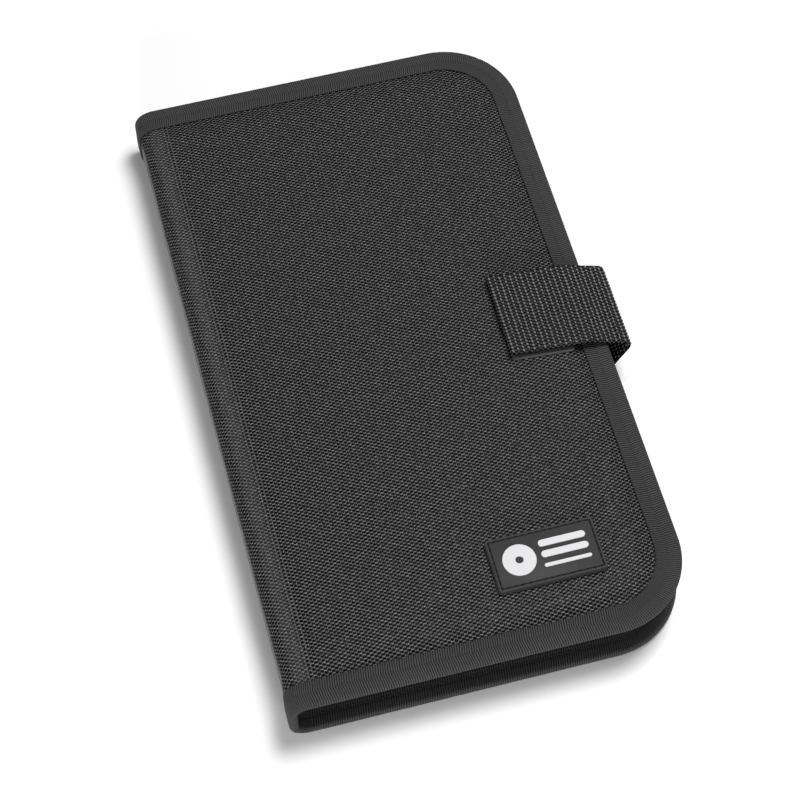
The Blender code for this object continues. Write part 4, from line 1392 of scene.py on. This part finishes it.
PATCH_SPREAD = 0.0004
PLATE_LIFT = 0.0001
LOOP_PLATE = 0.0005
HOOK_PLATE = 0.0003
strap_slant = STRAP_DRIFT / (FORE_EDGE - STRAP_END)
loop_base = CASE_THICKNESS + PLATE_LIFT
loop_top = loop_base + LOOP_PLATE
loop_plate, loop_centre = patch_plate(
    "loop_tape", "loop_patch", loop_base, loop_top, strap_slant, patch_cloth, spread=PATCH_SPREAD
)
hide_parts("loop_patch")
loop_places = patch_rows(
    "loop_places", loop_centre, loop_top - 0.0001, 1, slant=0.0,
    pitch=0.00095, margin=0.0012, seed=11, loose=0.22,
)
loops = grow("loop_nap", loop_places, planting, pile, Shape=loop_shape, Spread=0.18, Seed=5)
hook_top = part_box("hook_patch")[HIGH].z + PLATE_LIFT
hook_low = hook_top - HOOK_PLATE
hook_plate, hook_centre = patch_plate(
    "hook_base", "hook_patch", hook_low, hook_top, strap_slant, hook_plastic
)
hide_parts("hook_patch")
hook_places = patch_rows(
    "hook_places", hook_centre, hook_low + 0.00005, -1, strap_slant,
    pitch=0.00135, margin=0.0014, seed=12, loose=0.03,
)
hooks = grow("hook_field", hook_places, planting, hook_plastic, Shape=hook_shape, Spread=0.03, Seed=6)
for piece, body, slot_name in (
    (loop_plate, "front_cover", "loop_pile"),
    (loops, "front_cover", "loop_pile"),
    (hook_plate, "strap_flap", "hook_tape"),
    (hooks, "strap_flap", "hook_tape"),
):
    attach(piece, body)

# %% [markdown]
# ## The badge
#
# A soft moulded badge is sewn to the front. Its face has a thin groove near the border, where
# the thread lies; the groove's floor is painted near-black as painted shade. The plate is drawn
# as rounded outlines at several insets and heights, joined ring to ring. In the middle it
# carries a plain raised disc and three bars.

# %% Build the badge plate
BADGE_LOW, BADGE_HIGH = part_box("badge")
BADGE_MIDDLE = (BADGE_LOW + BADGE_HIGH) / 2
BADGE_HALF = (BADGE_HIGH - BADGE_LOW) / 2
BADGE_RADIUS = 0.0012
BADGE_BORDER = 0.0013
BADGE_GROOVE = 0.0006
GROOVE_FLOOR = 0.0005
GROOVE_WALL = 0.00008
GROOVE_ROW = 6
RIM = 0.00045
LIP = 0.0001
BADGE_LEAST_RADIUS = 0.00025
BADGE_TOP = BADGE_HIGH.z
BADGE_DEPTH = BADGE_TOP - CASE_THICKNESS - 0.00005


def ring(inset, drop):
    """A rounded rectangle inside the badge's outline, at a drop below its top."""
    corner = max(BADGE_RADIUS - inset, BADGE_LEAST_RADIUS)
    outline = rounded_box(BADGE_HALF.x - inset, BADGE_HALF.y - inset, corner)
    return [(BADGE_MIDDLE.x + x, BADGE_MIDDLE.y + y, BADGE_TOP - drop) for x, y in outline]


groove_start = BADGE_BORDER - BADGE_GROOVE / 2
groove_end = BADGE_BORDER + BADGE_GROOVE / 2
badge_rings = [
    ring(inset, drop)
    for inset, drop in (
        (0.0, BADGE_DEPTH),
        (0.0, RIM),
        (0.00012, RIM / 3),
        (RIM, 0.0),
        (groove_start - LIP, 0.0),
        (groove_start, LIP),
        (groove_start + GROOVE_WALL, GROOVE_FLOOR),
        (groove_end - GROOVE_WALL, GROOVE_FLOOR),
        (groove_end, LIP),
        (groove_end + LIP, 0.00003),
    )
]
around = len(badge_rings[0])
badge_points = [point for one in badge_rings for point in one]
badge_plate = mesh_piece("badge_plate", badge_points, tube_faces(len(badge_rings), around), rubber)
badge_plate.data.set_sharp_from_angle(angle=math.radians(50))
# The groove's floor takes the painted shade.
badge_plate.data.materials.append(groove_shade)
for face in badge_plate.data.polygons[GROOVE_ROW * around:(GROOVE_ROW + 1) * around]:
    face.material_index = 1
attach(badge_plate, "front_cover")
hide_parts("badge")
print(badge_plate.name, len(badge_plate.data.polygons), "faces")

# %% Sew and mark the badge
MOTIF_HEIGHT = 0.0005
MOTIF_ROOT = 0.0001
DISC_PLACE = -0.0108
DISC_RADIUS = 0.0066
DISC_HOLE = 0.0017
BAR_PLACE = -0.0018
BAR_LENGTH = 0.0190
BAR_WIDTHS = (0.0026, 0.0026, 0.0012)
BAR_PITCH = 0.0048

badge_path = path_object("badge_seam", ring(BADGE_BORDER, 0.00042), closed=True)
badge_stitches = grow(
    "badge_stitches", badge_path, sewing, thread_black, Pitch=0.0029, Length=0.0024, Thickness=0.00036
)


def round_points(x, y, radius, start, end, steps):
    """Points on part of a circle."""
    turns = np.linspace(start, end, steps)
    return [(x + radius * math.cos(turn), y + radius * math.sin(turn), 0) for turn in turns]


def circle(x, y, radius, steps=48):
    """Points of a circle."""
    return round_points(x, y, radius, 0, 2 * math.pi, steps + 1)[:-1]


def bar(x, y, length, width, steps=7):
    """A bar with round ends, from x to x + length."""
    radius = width / 2
    right_end = round_points(x + length - radius, y, radius, -math.pi / 2, math.pi / 2, steps)
    return right_end + round_points(x + radius, y, radius, math.pi / 2, 1.5 * math.pi, steps)


disc_x = BADGE_MIDDLE.x + DISC_PLACE
outlines = [circle(disc_x, BADGE_MIDDLE.y, DISC_RADIUS), circle(disc_x, BADGE_MIDDLE.y, DISC_HOLE)]
for i, width in enumerate(BAR_WIDTHS):
    outlines.append(bar(BADGE_MIDDLE.x + BAR_PLACE, BADGE_MIDDLE.y + BAR_PITCH * (1 - i), BAR_LENGTH, width))
motif_mesh = curve_mesh(
    "badge_motif", outlines, closed=True, dimensions="2D", fill_mode="BOTH",
    extrude=(MOTIF_HEIGHT + MOTIF_ROOT) / 2, bevel_depth=0.00012, bevel_resolution=2,
)
for vertex in motif_mesh.vertices:
    vertex.co.z += BADGE_TOP + (MOTIF_HEIGHT - MOTIF_ROOT) / 2
motif_mesh.materials.clear()
motif_mesh.materials.append(motif)
badge_motif = add_object("badge_motif", motif_mesh)
for piece in (badge_stitches, badge_motif):
    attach(piece, "front_cover")
print(badge_motif.name, len(badge_motif.data.polygons), "faces")

# %% [markdown]
# ## The pieces inside
#
# Foam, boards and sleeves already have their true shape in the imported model. They only take a
# finish, which is given to the node's own material slot.

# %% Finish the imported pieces
for name, finish, slot_name in (
    ("front_foam_pad", foam_grey, "foam"),
    ("back_foam_pad", foam_grey, "foam"),
    ("front_board", board_grey, "board"),
    ("back_board", board_grey, "board"),
    ("spine_board", board_grey, "board"),
    ("sleeve_pages", film, "sleeve_film"),
):
    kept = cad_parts[name]
    for place in range(max(len(kept.material_slots), 1)):
        if kept.material_slots:
            kept.material_slots[place].material = finish
        else:
            kept.data.materials.append(finish)
